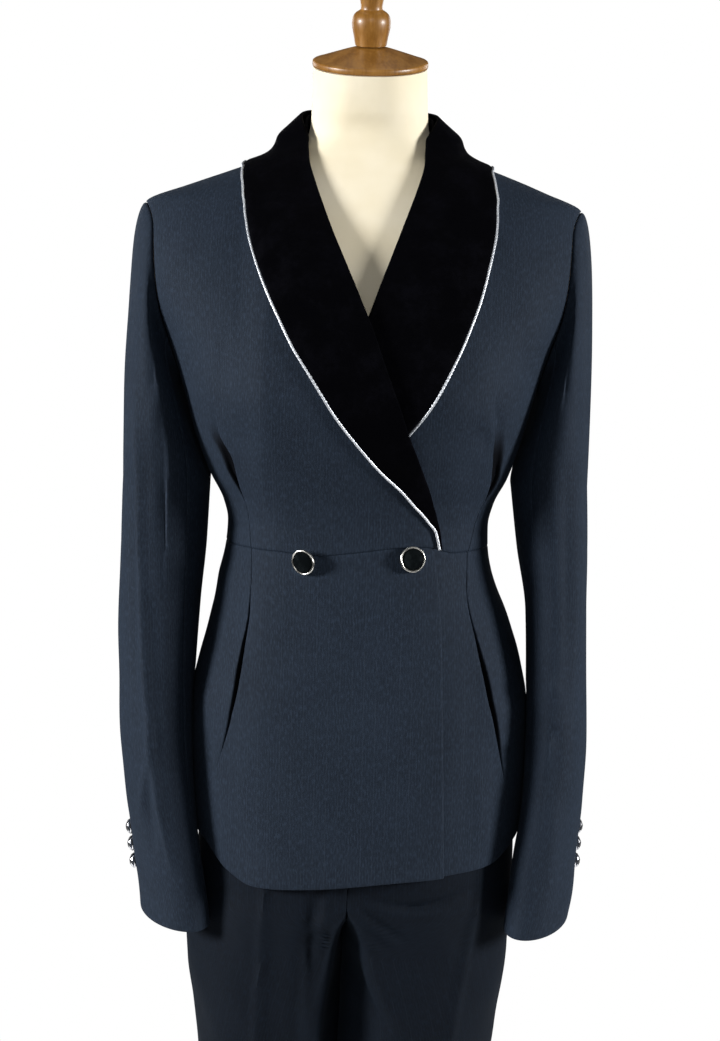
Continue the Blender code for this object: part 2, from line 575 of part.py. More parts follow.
def sleeve(side, finish):
    """Two cloth walls round the arm, meeting along the sleeve's front and back seams."""
    grid = sleeve_grid(side)
    inner = grid - grid_normals(grid, closed=True) * CLOTH
    seams = (("top", range(FRONT_SEAM, BACK_SEAM + 1 + grid.shape[1])), ("under", range(BACK_SEAM, FRONT_SEAM + 1)))
    for word, columns in seams:
        faces = []
        for points in (grid, inner):
            part = points[:, [j % grid.shape[1] for j in columns]]
            part[:, 0] += unit(part[:, 1] - part[:, 0]) * SLEEVE_SEAM
            part[:, -1] += unit(part[:, -2] - part[:, -1]) * SLEEVE_SEAM
            faces.append(part)
        wall(f"sleeve_{word}_{NAME[side]}", *faces, finish, side)


# ---------------------------------------------------------------- collar, stand and piping


Line = namedtuple("Line", "step roll_angle roll_height roll_lift edge_angle edge_height edge_lift free")


def collar_lines(side):
    """The collar's ribs as angles: those of the lapel lie on the front, those round the neck stand free."""
    lines = []
    for rib in lapel(side):
        roll, edge = angle_at(side, rib.roll_out, rib.roll_height), angle_at(side, rib.edge_out, rib.edge_height)
        lift = [float(front_lift(side, a, h)) for a, h in ((roll, rib.roll_height), (edge, rib.edge_height))]
        lines.append(Line(rib.step, float(roll), rib.roll_height, lift[0], float(edge), rib.edge_height, lift[1], 0))
    for rib in COLLAR:
        roll, edge = math.radians(rib.roll_angle), math.radians(rib.edge_angle)
        stands = rib.roll_lift - VELVET - LAID
        lines.append(Line(rib.step, roll, rib.roll_height, stands, edge, rib.edge_height, 0.0010, 1))
    return lines


ACROSS = np.array([0, 0.04, 0.17, 0.33, 0.50, 0.67, 0.84, 1.0])  # a rib's points, from roll to edge
RIBS = 23
PIPING_RADIUS = 0.0012
ROLL_DROP = 0.0019  # the roll turns down over the front's edge
COLLAR_SPRING = (0.35, 1.00)  # round the neck it stands off up to the first, lies down from the second


def collar(side, finish):
    """The lapel and its half of the collar, cut in one: it lies on the front, then stands free round the neck."""
    lines = collar_lines(side)
    step = np.linspace(lines[0].step, lines[-1].step, RIBS)[:, None]
    free = smooth(lines[-6].step, lines[-4].step, step)
    angle = along(lines, "roll_angle", step) * (1 - ACROSS) + along(lines, "edge_angle", step) * ACROSS
    angle[-1] = aside(side, angle[-1], NECKLINE[-1].height, -HALF_GAP)
    height = along(lines, "roll_height", step) * (1 - ACROSS) + along(lines, "edge_height", step) * ACROSS
    round_neck = along(lines, "roll_lift", step) * (1 - ACROSS) + along(lines, "edge_lift", step) * ACROSS
    lift = front_lift(side, angle, height) * (1 - free) + free * round_neck + VELVET + LAID
    lift[:, :1] -= ROLL_DROP * (1 - free)
    lying = torso(side, angle, height, lift)
    straight = lying[:, :1] * (1 - ACROSS[:, None]) + lying[:, -1:] * ACROSS[:, None]
    stands = (free * (1 - smooth(*COLLAR_SPRING, ACROSS)))[..., None]
    points = lying * (1 - stands) + straight * stands
    normals = grid_normals(points)
    normals[-1, :, 0] = 0
    wall(f"collar_{NAME[side]}", points, points - unit(normals) * VELVET, finish, side)
    return points


def collar_stand(finish):
    """The band inside the collar, from the neckline up to just under the fold."""
    table = [NeckRib(0, 46, 0.364, 0.0030, 0, 0)] + COLLAR
    degrees = np.array([62, 76, 92, 112, 135, 158, 180])
    by_angle = [Neck(rib.roll_angle, rib.roll_height) for rib in table]
    lift_by_angle = [Neck(rib.roll_angle, rib.roll_lift) for rib in table]
    foot = along(NECKLINE, "height", degrees) + 0.0006
    top = along(by_angle, "height", degrees) - 0.0035
    out = along(lift_by_angle, "height", degrees) - VELVET - 2 * GAP - 0.0024
    up = np.linspace(0, 1, 3)[:, None]
    height = foot + (top - foot) * up
    lift = out * up**2
    angle = np.radians(degrees)[None, :] + 0 * up
    left, right = torso(LEFT, angle, height, lift), torso(LEFT, -angle, height, lift)
    points = np.concatenate([left, right[:, -2::-1]], axis=1)
    wall("collar_stand", points, points - grid_normals(points) * CLOTH, finish)


def piping(side, collar_points, finish):
    """The round piping along the collar's outer edge, from the lapel's tip to the centre back."""
    edge = collar_points[1:, -1]
    away, run = edge - collar_points[1:, -2], unit(np.gradient(edge, axis=0))
    away = unit(away - run * (away * run).sum(axis=-1, keepdims=True))
    side_y = along(JACKET, "side", edge[:, 2])
    angle = np.arctan2(edge[:, 0], side_y - edge[:, 1])
    skin = torso(side, angle, edge[:, 2])
    normal = torso(side, angle, edge[:, 2], 1.0) - skin
    centre = edge - normal * VELVET / 2 + away * (PIPING_RADIUS + GAP)
    centre[-1, 0] = HALF_GAP
    tangent = unit(np.gradient(centre, axis=0))
    up = unit(np.cross(tangent, away))
    turn = np.linspace(0, 2 * math.pi, 7)[:-1, None]
    rings = centre[:, None] + PIPING_RADIUS * (np.cos(turn) * unit(np.cross(up, tangent))[:, None] + np.sin(turn) * up[:, None])
    rings[-1, :, 0] = np.maximum(rings[-1, :, 0], HALF_GAP)
    loft(f"piping_{NAME[side]}", rings * [side, 1, 1] if side == LEFT else rings[:, ::-1] * [side, 1, 1], finish)


# ---------------------------------------------------------------- buttons


FrontButton = namedtuple("FrontButton", "word out height tip seat")
FRONT_BUTTONS = [FrontButton("right", -0.0418, -0.0049, 0.40, 0.0019), FrontButton("left", 0.0480, -0.0100, 0.0, 0.0006)]
BUTTON_SHELL = [(0, 0.0045), (0.0098, 0.0045), (0.0102, 0.0062), (0.0112, 0.0062), (0.0116, 0.0052), (0.0112, 0.0036), (0.0032, 0.0030), (0.0032, 0), (0, 0)]
BUTTON_VELVET = [(0, 0.0069), (0.0050, 0.0067), (0.0082, 0.0060), (0.0095, 0.0050), (0.0093, 0.0048), (0, 0.0048)]
CRYSTAL = [
    (0, 0.0080), (0.0034, 0.0076), (0.0064, 0.0054), (0.0075, 0.0036),
    (0.0066, 0.0018), (0.0022, 0.0012), (0.0022, 0), (0, 0),
]
Seat = namedtuple("Seat", "height lift")  # lift: from the sleeve's round form to its flat faces
CUFF_SEATS = {
    RIGHT: [Seat(-0.2810, -0.00002), Seat(-0.2970, -0.00012), Seat(-0.3135, 0.00035)],
    LEFT: [Seat(-0.2715, -0.00032), Seat(-0.2880, -0.00010), Seat(-0.3045, -0.00077)],
}
CUFF_BUTTON_TURN = math.radians(50)  # behind the sleeve's outer side


def front_buttons(silver, velvet):
    """The two front buttons; the one on the overlap hangs tipped on its shank."""
    for button in FRONT_BUTTONS:
        own = angle_at(RIGHT, -button.out, button.height)
        lift = float(front_lift(RIGHT, own, button.height))
        skin = torso(LEFT, -own, button.height, lift + button.seat)
        axis = torso(LEFT, -own, button.height, 1.0) - torso(LEFT, -own, button.height)
        axis = unit(axis + button.tip * np.array([-0.75, 0, -0.65]))
        seat = (skin[0], skin[1], skin[2] + WAIST_HEIGHT)
        turned(f"front_button_{button.word}", BUTTON_SHELL, 24, silver, seat, axis)
        turned(f"front_button_velvet_{button.word}", BUTTON_VELVET, 24, velvet, seat, axis)


def cuff_buttons(side, finish):
    for number, (height, lift) in enumerate(CUFF_SEATS[side], 1):
        at, ahead = (sleeve_ring(side, height, CUFF_BUTTON_TURN + t) for t in (0.0, 0.02))
        above = sleeve_ring(side, height + 0.002, CUFF_BUTTON_TURN)
        axis = np.cross(ahead - at, above - at)
        axis /= np.linalg.norm(axis)
        seat = (at + axis * lift) * [side, 1, 1]
        turned(f"cuff_button_{NAME[side]}_{number}", CRYSTAL, 12, finish, (seat[0], seat[1], seat[2] + WAIST_HEIGHT), axis * [side, 1, 1])


# ---------------------------------------------------------------- trousers


def leg_inner(height):
    """Half of the space between the inner legs: none at the fork."""
    return HALF_GAP + (INNER_LEG - HALF_GAP) * smooth(FORK_LOW, FORK_LOW - 0.05, height)


def seam_start(height):
    """Where the centre seam meets a ring: the inner leg below the fork, the crease above it."""
    return math.pi / 2 * smooth(FORK_LOW, FORK_HIGH, height)


def leg_point(side, turn, height, half):
    """A point of a leg's outer face. turn runs from the inner leg over the crease to the outer side,
    and half is -1 for the front of the leg and 1 for its back."""
    crease, outer, power = (along(LEG, name, height) for name in ("crease", "outer", "power"))
    outer = outer + side * along(SWAY, "shift", height)
    depth = -along(LEG, "front", height) if half < 0 else along(LEG, "back", height)
    start = np.minimum(seam_start(height), math.pi / 2 - 0.02)
    reach = (crease - leg_inner(height)) / np.cos(start) ** (2 / power)
    wide = np.where(np.cos(turn) > 0, reach, outer - crease)
    x = crease - wide * np.sign(np.cos(turn)) * np.abs(np.cos(turn)) ** (2 / power)
    y = half * depth * np.sign(np.sin(turn)) * np.abs(np.sin(turn)) ** (2 / power)
    return np.stack([x, y, height + 0 * x], -1)


def wound(points, side):
    """Leg points with the space between the legs wound sideways, so that it can't be seen through."""
    near = 1 - smooth(0, BEND_WIDE, points[..., 0])
    ahead = np.sin(math.pi * np.clip(-points[..., 1] / BEND_DEEP, -1, 1))
    shift = -side * along(INNER_BEND, "shift", points[..., 2]) * near * ahead
    return points + np.stack([shift, 0 * shift, 0 * shift], -1)


def leg_panel(side, half, finish):
    """One of the four trouser panels, from the centre and inner-leg seam to the side seam."""
    height = np.array(LEG_ROWS)[:, None]
    start = seam_start(height)
    turn = np.where(start < math.pi / 2 - 0.01, start + (math.pi - start) * LEG_ACROSS, math.pi / 2 * (1 + LEG_ACROSS))
    faces = []
    outer = leg_point(side, turn, height, half)
    ahead = leg_point(side, turn + 0.004, height, half) - leg_point(side, turn - 0.004, height, half)
    above = leg_point(side, turn, height + 0.0008, half) - leg_point(side, turn, height - 0.0008, half)
    normal = unit(np.cross(ahead, above)) * -half
    for points in (outer, outer - normal * CLOTH):
        points[..., 0] = np.maximum(points[..., 0], HALF_GAP)
        points[..., 1] = half * np.maximum(points[..., 1] * half, HALF_GAP)
        points[-1, :, 2] = LEG_ROWS[-1]
        points = wound(points, side)
        faces.append(points if half < 0 else points[:, ::-1])
    word = "front" if half < 0 else "back"
    wall(f"trouser_{word}_{NAME[side]}", *faces, finish, side)


def waistband(finish):
    """The band inside the jacket, open at the centre front where it closes."""
    shut = HALF_GAP / 0.09
    angle = np.linspace(shut, 2 * math.pi - shut, 27)
    height = np.linspace(BAND_FOOT, BAND_TOP, 3)[:, None]
    angle = (angle + math.pi) % (2 * math.pi) - math.pi + 0 * height
    faces = [torso(LEFT, angle, height, -inset) * [1, 1, 0] + np.stack([0 * angle, 0 * angle, height + 0 * angle], -1) for inset in (BAND_IN, BAND_IN + BAND)]
    wall("trouser_waistband", *faces, finish)


# ---------------------------------------------------------------- dress form and stand


def form_body(finish):
    """The form's torso with its neck: smooth, closed, without arms or legs, tilted at the neck's top."""
    rows = np.array([FORM_FOOT, -0.26, -0.21, -0.16, -0.11, -0.075, -0.05, -0.02, 0.02, 0.05, 0.085, 0.12, 0.155, 0.19, 0.22, 0.25, 0.275, 0.295, 0.307, 0.316, 0.326, 0.337, 0.348, 0.359, 0.370, 0.385, 0.412, NECK_TOP])
    around = np.linspace(0, 2 * math.pi, 37)[:-1]
    angle = (around + math.pi) % (2 * math.pi) - math.pi
    inset = along(FORM_INSET, "inset", rows)[:, None]
    rings = torso(LEFT, angle[None, :] + 0 * inset, rows[:, None] + 0 * inset, -inset)
    lean = smooth(NECK_BEND - 0.02, NECK_TOP, rings[..., 2])
    rings[..., 2] += math.tan(NECK_TILT) * lean * (rings[..., 1] - along(JACKET, "side", NECK_TOP))
    rings[0, :, 2] = FORM_FOOT
    return loft("form_torso", rings, finish)


CAP = [(0, 0.0190), (0.0140, 0.0175), (0.0515, 0.0060), (0.0530, 0.0045), (0.0530, 0.0015), (0.0515, 0), (0, 0)]
FINIAL = [
    (0, 0.1020), (0.0060, 0.1010), (0.0110, 0.0970), (0.0140, 0.0900), (0.0130, 0.0820), (0.0105, 0.0770), (0.0128, 0.0730),
    (0.0128, 0.0690), (0.0124, 0.0620), (0.0118, 0.0460), (0.0098, 0.0320), (0.0102, 0.0308), (0.0140, 0.0285), (0.0168, 0.0245),
    (0.0176, 0.0195), (0.0173, 0.0150), (0.0155, 0.0070), (0.0148, 0.0025), (0.0142, 0), (0, 0),
]


def neck_cap_and_finial(wood):
    axis = Vector((0, -math.sin(NECK_TILT), math.cos(NECK_TILT)))
    seat = Vector((along(SWAY, "shift", NECK_TOP), along(JACKET, "side", NECK_TOP), NECK_TOP + WAIST_HEIGHT)) + axis * GAP
    turned("form_neck_cap", CAP, 36, wood, seat, axis)
    turned("form_finial", FINIAL, 24, wood, seat + axis * (0.0190 + GAP), axis)


def stand(steel):
    """A socket under the form, a pole down the left leg and a round plate on the floor."""
    foot = FORM_FOOT + WAIST_HEIGHT - GAP
    socket = [(0, foot), (0.034, foot), (0.034, foot - 0.004), (0.019, foot - 0.008), (0.019, foot - 0.040), (0, foot - 0.040)]
    turned("stand_socket", socket, 24, steel, (POLE_OUT, 0, 0))
    hub_top = BASE_THICK + 0.016
    pole = [(0, foot - 0.040 - GAP), (POLE_RADIUS, foot - 0.040 - GAP), (POLE_RADIUS, hub_top + GAP), (0, hub_top + GAP)]
    turned("stand_pole", pole, 16, steel, (POLE_OUT, 0, 0))
    hub = [(0, hub_top), (0.018, hub_top), (0.021, hub_top - 0.003), (0.028, BASE_THICK + GAP), (0, BASE_THICK + GAP)]
    turned("stand_hub", hub, 24, steel, (POLE_OUT, 0, 0))
    plate = [(0, BASE_THICK), (BASE_RADIUS - 0.004, BASE_THICK), (BASE_RADIUS, BASE_THICK - 0.004), (BASE_RADIUS, 0), (0, 0)]
    turned("stand_base", plate, 48, steel)


NAME = {RIGHT: "right", LEFT: "left"}


def main():
    for old in list(bpy.data.objects):
        bpy.data.objects.remove(old, do_unlink=True)
    suiting = material("suiting", (0.020, 0.024, 0.031), 0.75)
    velvet = material("velvet", (0.004, 0.004, 0.007), 0.90)
    silver = material("silver_piping", (0.72, 0.76, 0.80), 0.35, 0.6)
    rim = material("button_rim", (0.80, 0.79, 0.76), 0.20, 1.0)
    crystal = material("crystal", (0.30, 0.31, 0.33), 0.08, 0.9)
    linen = material("form_linen", (0.87, 0.80, 0.63), 0.80)
    wood = material("wood", (0.33, 0.16, 0.05), 0.35)
    steel = material("steel", (0.10, 0.10, 0.11), 0.40, 0.9)
    for side in (RIGHT, LEFT):
        bodice_front(side, suiting)
        bodice_back(side, suiting)
        skirt_front(side, suiting)
        skirt_back(side, suiting)
        sleeve(side, suiting)
        piping(side, collar(side, velvet), silver)
        cuff_buttons(side, crystal)
        leg_panel(side, -1, suiting)
        leg_panel(side, 1, suiting)
    collar_stand(velvet)
    front_buttons(rim, velvet)
    waistband(suiting)
    form_body(linen)
    neck_cap_and_finial(wood)
    stand(steel)


main()
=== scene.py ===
"""Looks of the showmanship suit on its dress form.

The frame gives the sizes. Each cloth solid is replaced by a thin shell on the same form, with rolled
seams, open tucks, creases and woven materials. Metres, but millimetres in the tables, +Z up,
the front towards -Y.
Heights in the tables are measured from the jacket's waist seam, `out` from the centre plane to the
wearer's own side. A side is +1 for the wearer's left (+X) and -1 for the right.
"""

import math
from collections import namedtuple

import bpy
import numpy as np
from mathutils import Matrix, Vector


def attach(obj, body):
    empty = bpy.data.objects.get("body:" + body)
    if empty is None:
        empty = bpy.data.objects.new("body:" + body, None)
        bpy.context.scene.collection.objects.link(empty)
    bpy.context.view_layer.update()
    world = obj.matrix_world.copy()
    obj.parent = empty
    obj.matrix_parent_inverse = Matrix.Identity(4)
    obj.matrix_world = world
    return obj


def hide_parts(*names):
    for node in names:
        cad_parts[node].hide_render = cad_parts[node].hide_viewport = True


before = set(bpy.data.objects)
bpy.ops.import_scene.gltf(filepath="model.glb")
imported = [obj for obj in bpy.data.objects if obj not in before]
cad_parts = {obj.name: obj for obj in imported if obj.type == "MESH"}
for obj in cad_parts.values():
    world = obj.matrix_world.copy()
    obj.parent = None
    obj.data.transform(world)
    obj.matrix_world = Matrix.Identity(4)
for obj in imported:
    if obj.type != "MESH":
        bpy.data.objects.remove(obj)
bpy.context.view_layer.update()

RIGHT, LEFT = -1, 1
NAME = {RIGHT: "right", LEFT: "left"}
WAIST_HEIGHT = 1.18
CLOTH, VELVET, BAND = 0.0013, 0.0020, 0.0020
SEAM = 0.00005  # half of what is left open between two sewn pieces
LAID = 0.0014  # how far over the front the collar lies
SOLID_CLOTH = 0.0015  # the solids' own suiting wall
INNER_RELIEF = 0.0004  # the most that a wall's inner face follows a ridge
STILL_AT_EDGE = 0.008  # folds fade out within this of a seam
LEAST_SHARE = 0.301  # the least that a cut piece may fill of its flat rectangle

# ---------------------------------------------------------------- tables


def table_of(columns, *defaults):
    """Makes tables with these named columns. Lengths are written in millimetres, a starred column as it is."""
    names = columns.split()
    Row = namedtuple("Row", columns.replace("*", ""), defaults=defaults)

    def table(*rows):
        return [Row(*(v if name[0] == "*" else v / 1000 for name, v in zip(names, row))) for row in rows]

    return table


# ---------------------------------------------------------------- the frame's own shapes

section_rows = table_of("height half_width front back side *power")
JACKET = section_rows(
    (-370, 159, -113.5, 118, 0, 2.3), (-335, 156, -116, 121, 0, 2.3), (-305, 155.5, -122, 127.5, 0, 2.3),
    (-250, 160, -122, 131, 0, 2.3), (-200, 161.5, -121, 132, 0, 2.3), (-150, 161, -118, 129, 0, 2.3),
    (-114, 154.5, -113, 121, 0, 2.25), (-75, 143.5, -107, 109, 0, 2.2), (-37, 132, -101, 96, 0, 2.15),
    (0, 124, -96, 87, 0, 2.1), (20, 123, -96.5, 85, 0, 2.1), (40, 127.5, -100, 86, 0, 2.1),
    (65, 140, -108, 90, 0, 2.15), (100, 152.5, -120, 98, 0, 2.25), (142, 163, -128, 107, 0, 2.35),
    (180, 176, -125, 114, 2, 2.35), (220, 194, -114, 118, 4, 2.3), (250, 202.5, -102, 117, 6, 2.25),
    (280, 206.5, -87, 112, 8, 2.1), (300, 205.5, -75, 105, 9, 1.95), (313, 202.2, -67, 99, 10, 1.85),
    (330, 163.5, -57, 89, 12, 1.8), (345, 123.5, -48, 80, 14, 1.85), (360, 83, -40, 71, 16, 1.95),
    (375, 62, -38, 66, 15, 2), (400, 54.5, -42, 62, 10, 2), (441, 52, -49, 55, 3, 2),
)
shift_rows = table_of("height shift")
SWAY = shift_rows(
    (-385, 0), (-290, 6.6), (-100, 6.6), (-60, 4.5), (-25, 0.8), (35, 1.8), (110, 0), (313, 0), (345, 4),
    (441, 3),
)
Bust = namedtuple("Bust", "depth angle spread height tall")
BUST = Bust(0.009, math.radians(38), math.radians(20), 0.140, 0.045)

rise_rows = table_of("out height")
WAIST_SEAM = rise_rows(
    (-130, 0), (-67.5, 2), (-33, 0.5), (-13.5, 2.6), (8.6, 5.5), (32.5, 8.5), (60, 9.2), (72, 6.5), (90, 1.5),
    (130, 1.5), (150, 0),
)
SEAM_REACH = 0.055  # it draws the cloth above and below with it over this
SEAM_AHEAD = (-0.030, -0.005)  # and only in front of the sides

ARMHOLE_LOW, SHOULDER_TIP = 0.150, 0.313
ARMHOLE_FRONT, ARMHOLE_BACK = math.radians(14.5), math.radians(16.5)
SHOULDER_TOP = 0.358
UNDERLAP = 0.060
LAP_START, LAP_FULL = 0.108, 0.078
LAP_LIFT, LAP_LIFT_HEM = 0.0062, 0.0036
LAP_RISES, LAP_ENDS = (-0.15, -0.02), (0.25, 0.33)  # heights where it grows to full, and ends
ROLL_ABOVE = [(0.353, 0.062), (SHOULDER_TOP, 0.070)]  # height and out of the roll line past the lapel
UNDER_COLLAR = 0.0025  # how far inside the roll line the fronts end
SKIRT_FRONT_FOOT, SKIRT_BACK_FOOT = -0.29, -0.28

edge_rows = table_of("height past")
OVERLAP = edge_rows((-310, 87), (-250, 85), (-144, 81), (-76, 78), (-37, 74), (6, 66.5))

rib_rows = table_of("*step roll_out roll_height edge_out edge_height")
LAPEL_RIGHT = rib_rows(
    (0, -73.6, 2, -72.6, 1), (0.5, -70.8, 22.5, -69, 16.5), (1, -66.5, 45, -62, 29),
    (1.5, -62.5, 62, -52.4, 43.8), (2, -58.2, 75, -41.6, 60), (3, -46.2, 108, -16.8, 87),
    (4, -28, 156, 16.2, 126), (5, -8, 207, 48.6, 173), (6, 11, 250, 73, 218), (7, 26.2, 285, 92.4, 262),
    (8, 37.6, 315, 102, 296), (9, 46.5, 340, 106.6, 324),
)
LAPEL_LEFT = rib_rows(
    (0, -58, 8, -55.5, 7), (1, -51, 45, -29, 38), (2, -42, 75, -4.5, 62), (3, -31, 108, 25, 92),
    (4, -13, 156, 54.5, 128), (5, 4.5, 207, 80.3, 174), (6, 20, 250, 99, 219), (7, 33, 285, 110.5, 260),
    (8, 44, 315, 116.8, 293), (9, 52, 340, 117.5, 323),
)
neck_rib_rows = table_of("*step *roll_angle roll_height roll_lift *edge_angle edge_height")
COLLAR = neck_rib_rows(
    (10, 60, 374, 5.5, 77, 344), (11, 88, 394, 8, 90, 349), (12, 118, 402, 9, 112, 343),
    (13, 148, 405, 9.5, 142, 336), (14, 180, 406, 9.5, 180, 334),
)
height_rows = table_of("*angle height")
NECKLINE = height_rows((42, 348), (50, 353), (65, 358.6), (90, 360.6), (180, 360.6))

out_rows = table_of("height out")
BODICE_TUCKS = {
    RIGHT: out_rows((0, 93), (35, 97.7), (57, 104.8), (85, 110.8), (108, 123), (150, 129)),
    LEFT: out_rows((0, 103.5), (36, 112.6), (50, 117.5), (70, 120.6), (111, 120.3), (150, 119.5)),
}
SKIRT_TUCKS = {
    RIGHT: out_rows((-310, 145), (-200, 118.6), (-163, 109), (-94, 96.8), (-55, 92), (0, 92.6)),
    LEFT: out_rows((-310, 156), (-230, 143.8), (-153, 127), (-90, 113), (-34, 102.7), (0, 102.5)),
}

HEM_RIGHT = height_rows((-46, -290), (-20, -292.5), (15, -300), (40, -304), (52, -295), (66, -274), (90, -264))
HEM_LEFT = height_rows((-40, -300), (0, -296), (40, -290), (58, -288), (72, -275), (90, -264))
HEM_BACK = height_rows((90, -264), (130, -272), (180, -276))

ring_rows = table_of("height out half_wide middle half_deep *turn")
SLEEVES = {
    RIGHT: ring_rows(
        (-362, 162, 28.5, -52, 52, -30), (-325, 166.5, 28.2, -49, 52.5, -28), (-290, 172.2, 28.8, -46, 53, -25),
        (-240, 179, 31.2, -41, 54.5, -20), (-180, 184, 34.2, -32, 56, -15), (-120, 185.5, 36.2, -22, 57.5, -12),
        (-60, 184.5, 38.5, -13, 59, -8), (0, 181.3, 40.2, -6, 61, -3), (60, 178.8, 40.1, -1.5, 63, 0),
    ),
    LEFT: ring_rows(
        (-362, 177.8, 26.8, -52, 52, -24), (-325, 182.9, 28.4, -49, 52.5, -22),
        (-290, 185.6, 27.9, -46, 53, -20), (-240, 191.4, 27.6, -41, 54.5, -16),
        (-180, 193.8, 28.7, -32, 56, -12), (-120, 192.9, 28.6, -22, 57.5, -10), (-60, 191.2, 28.9, -13, 59, -6),
        (0, 185.6, 33.1, -6, 61, -2), (60, 180, 35.2, -1.5, 63, 0),
    ),
}
RING = ("out", "half_wide", "middle", "half_deep", "turn")
CAP_FOOT, CUFF = 0.060, -0.353
SLEEVE_RADIUS = 0.048  # a mean one, for its flat cloth
SLEEVE_CLEAR = 0.0012

leg_rows = table_of("height outer front back crease *power")
LEG = leg_rows(
    (-1150, 144, -96, 100, 74, 2), (-950, 139, -90, 94, 71.5, 2), (-750, 134, -87, 90, 69, 2),
    (-600, 136, -92, 95, 69, 2), (-500, 144.8, -100, 102, 68, 2.1), (-450, 149.2, -106, 108, 62, 2.2),
    (-410, 155.3, -110, 113, 48, 2.25), (-370, 156.5, -112.5, 117, 30, 2.3),
    (-340, 155.5, -113.5, 119, 14, 2.3), (-315, 153.5, -114, 120, 0.3, 2.3),
    (-280, 152.5, -114, 121.5, 0.3, 2.3), (-200, 151.5, -113.5, 124.5, 0.3, 2.3),
    (-150, 151, -110.5, 121.5, 0.3, 2.3), (-100, 145.5, -105, 111.5, 0.3, 2.25),
    (-55.3, 133, -99.2, 98, 0.3, 2.17),
)
LEG_FOOT, LEG_TOP = -1.150, -0.0553
INNER_LEG = 0.0015
CREASE_WIDE, CREASE_HIGH = 0.0030, 0.0022
INNER_BEND = shift_rows((-1150, 12), (-480, 12), (-385, 6), (-320, 0))
BEND_DEEP, BEND_WIDE = 0.090, 0.062
FORK_LOW, FORK_HIGH = -0.370, -0.315
BAND_TOP, BAND_FOOT = -0.015, -0.055
BAND_IN = 0.0037

inset_rows = table_of("height inset")
FORM_INSET = inset_rows(
    (-305, 16), (-200, 15), (-100, 12.5), (-55, 7.8), (-15, 8.5), (15, 5.5), (100, 5.2), (260, 5.8), (300, 5.2),
    (376, 4.2), (400, 1), (441, 0),
)
FORM_FOOT = -0.300
NECK_TOP, NECK_TILT = 0.438, math.radians(17)
NECK_BEND = 0.385
FORM_RADIUS = 0.14  # a mean one, for its knit


def along(table, name, at, key=0):
    """A column of a table between its rows by their key, on a smooth curve that never overshoots them."""
    xs = np.array([row[key] for row in table], float)
    ys = np.array([getattr(row, name) for row in table], float)
    at = np.asarray(at, float)
    step = np.diff(xs)
    rise = np.diff(ys) / step
    slope = np.zeros(len(xs))
    slope[0], slope[-1] = rise[0], rise[-1]
    same_way = rise[:-1] * rise[1:] > 0
    slope[1:-1][same_way] = (2 * rise[:-1] * rise[1:])[same_way] / (rise[:-1] + rise[1:])[same_way]
    k = np.clip(np.searchsorted(xs, at, side="right") - 1, 0, len(step) - 1)
    u = np.clip((at - xs[k]) / step[k], 0, 1)
    from_low = (1 + 2 * u) * (1 - u) ** 2 * ys[k] + u * (1 - u) ** 2 * step[k] * slope[k]
    from_high = u * u * (3 - 2 * u) * ys[k + 1] + u * u * (u - 1) * step[k] * slope[k + 1]
    return from_low + from_high


def smooth(low, high, at):
    """0 at low, 1 at high, with an easy turn at each."""
    u = np.clip((np.asarray(at, float) - low) / (high - low), 0, 1)
    return u * u * (3 - 2 * u)


def unit(vectors):
    return vectors / np.linalg.norm(vectors, axis=-1, keepdims=True)


def torso_radius(side, angle, height):
    middle = along(JACKET, "side", height)
    front = middle - along(JACKET, "front", height)
    back = along(JACKET, "back", height) - middle
    depth = np.where(np.cos(angle) > 0, front, back)
    half_width = along(JACKET, "half_width", height) + along(SWAY, "shift", height) * side * np.sign(np.sin(angle))
    power = along(JACKET, "power", height)
    wide, deep = np.abs(np.sin(angle)) / half_width, np.abs(np.cos(angle)) / depth
    radius = (wide**power + deep**power) ** (-1 / power)
    across = np.exp(-(((np.abs(angle) - BUST.angle) / BUST.spread) ** 2))
    return radius + BUST.depth * across * np.exp(-(((height - BUST.height) / BUST.tall) ** 2))


def seam_rise(side, points):
    """Points of the body's front with the waist seam drawn up or down where it doesn't run level."""
    ahead = 1 - smooth(*SEAM_AHEAD, points[..., 1] - along(JACKET, "side", points[..., 2]))
    rise = along(WAIST_SEAM, "height", side * points[..., 0]) * ahead * np.exp(-((points[..., 2] / SEAM_REACH) ** 2))
    return points + np.stack([0 * rise, 0 * rise, rise], -1)


def torso(side, angle, height, lift=0.0):
    """Points on the body's outer face, moved out along its normal by lift."""
    angle, height, lift = (np.asarray(v, float) for v in np.broadcast_arrays(angle, height, lift))

    def face(a, h):
        r = torso_radius(side, a, h)
        return seam_rise(side, np.stack([r * np.sin(a), along(JACKET, "side", h) - r * np.cos(a), h], -1))

    turn, rise = 0.004, 0.0008
    across = face(angle + turn, height) - face(angle - turn, height)
    upwards = face(angle, height + rise) - face(angle, height - rise)
    return face(angle, height) + unit(np.cross(across, upwards)) * lift[..., None]


def angle_at(side, out, height):
    out, height = (np.asarray(v, float) for v in np.broadcast_arrays(out, height))
    low, high = np.full(out.shape, -math.radians(89.9)), np.full(out.shape, math.radians(89.9))
    for _ in range(40):
        middle = (low + high) / 2
        over = torso_radius(side, middle, height) * np.sin(middle) > out
        low, high = np.where(over, low, middle), np.where(over, middle, high)
    return (low + high) / 2


def aside(side, angle, height, distance):
    return angle + distance / torso_radius(side, angle, height)


def front_lift(side, angle, height):
    """The right front climbs over the left one: how far it stands out there."""
    if side == LEFT:
        return np.zeros(np.broadcast(angle, height).shape)
    out = torso_radius(side, angle, height) * np.sin(angle)
    lift = LAP_LIFT_HEM + (LAP_LIFT - LAP_LIFT_HEM) * smooth(*LAP_RISES, height)
    return lift * smooth(LAP_START, LAP_FULL, out) * (1 - smooth(*LAP_ENDS, height))


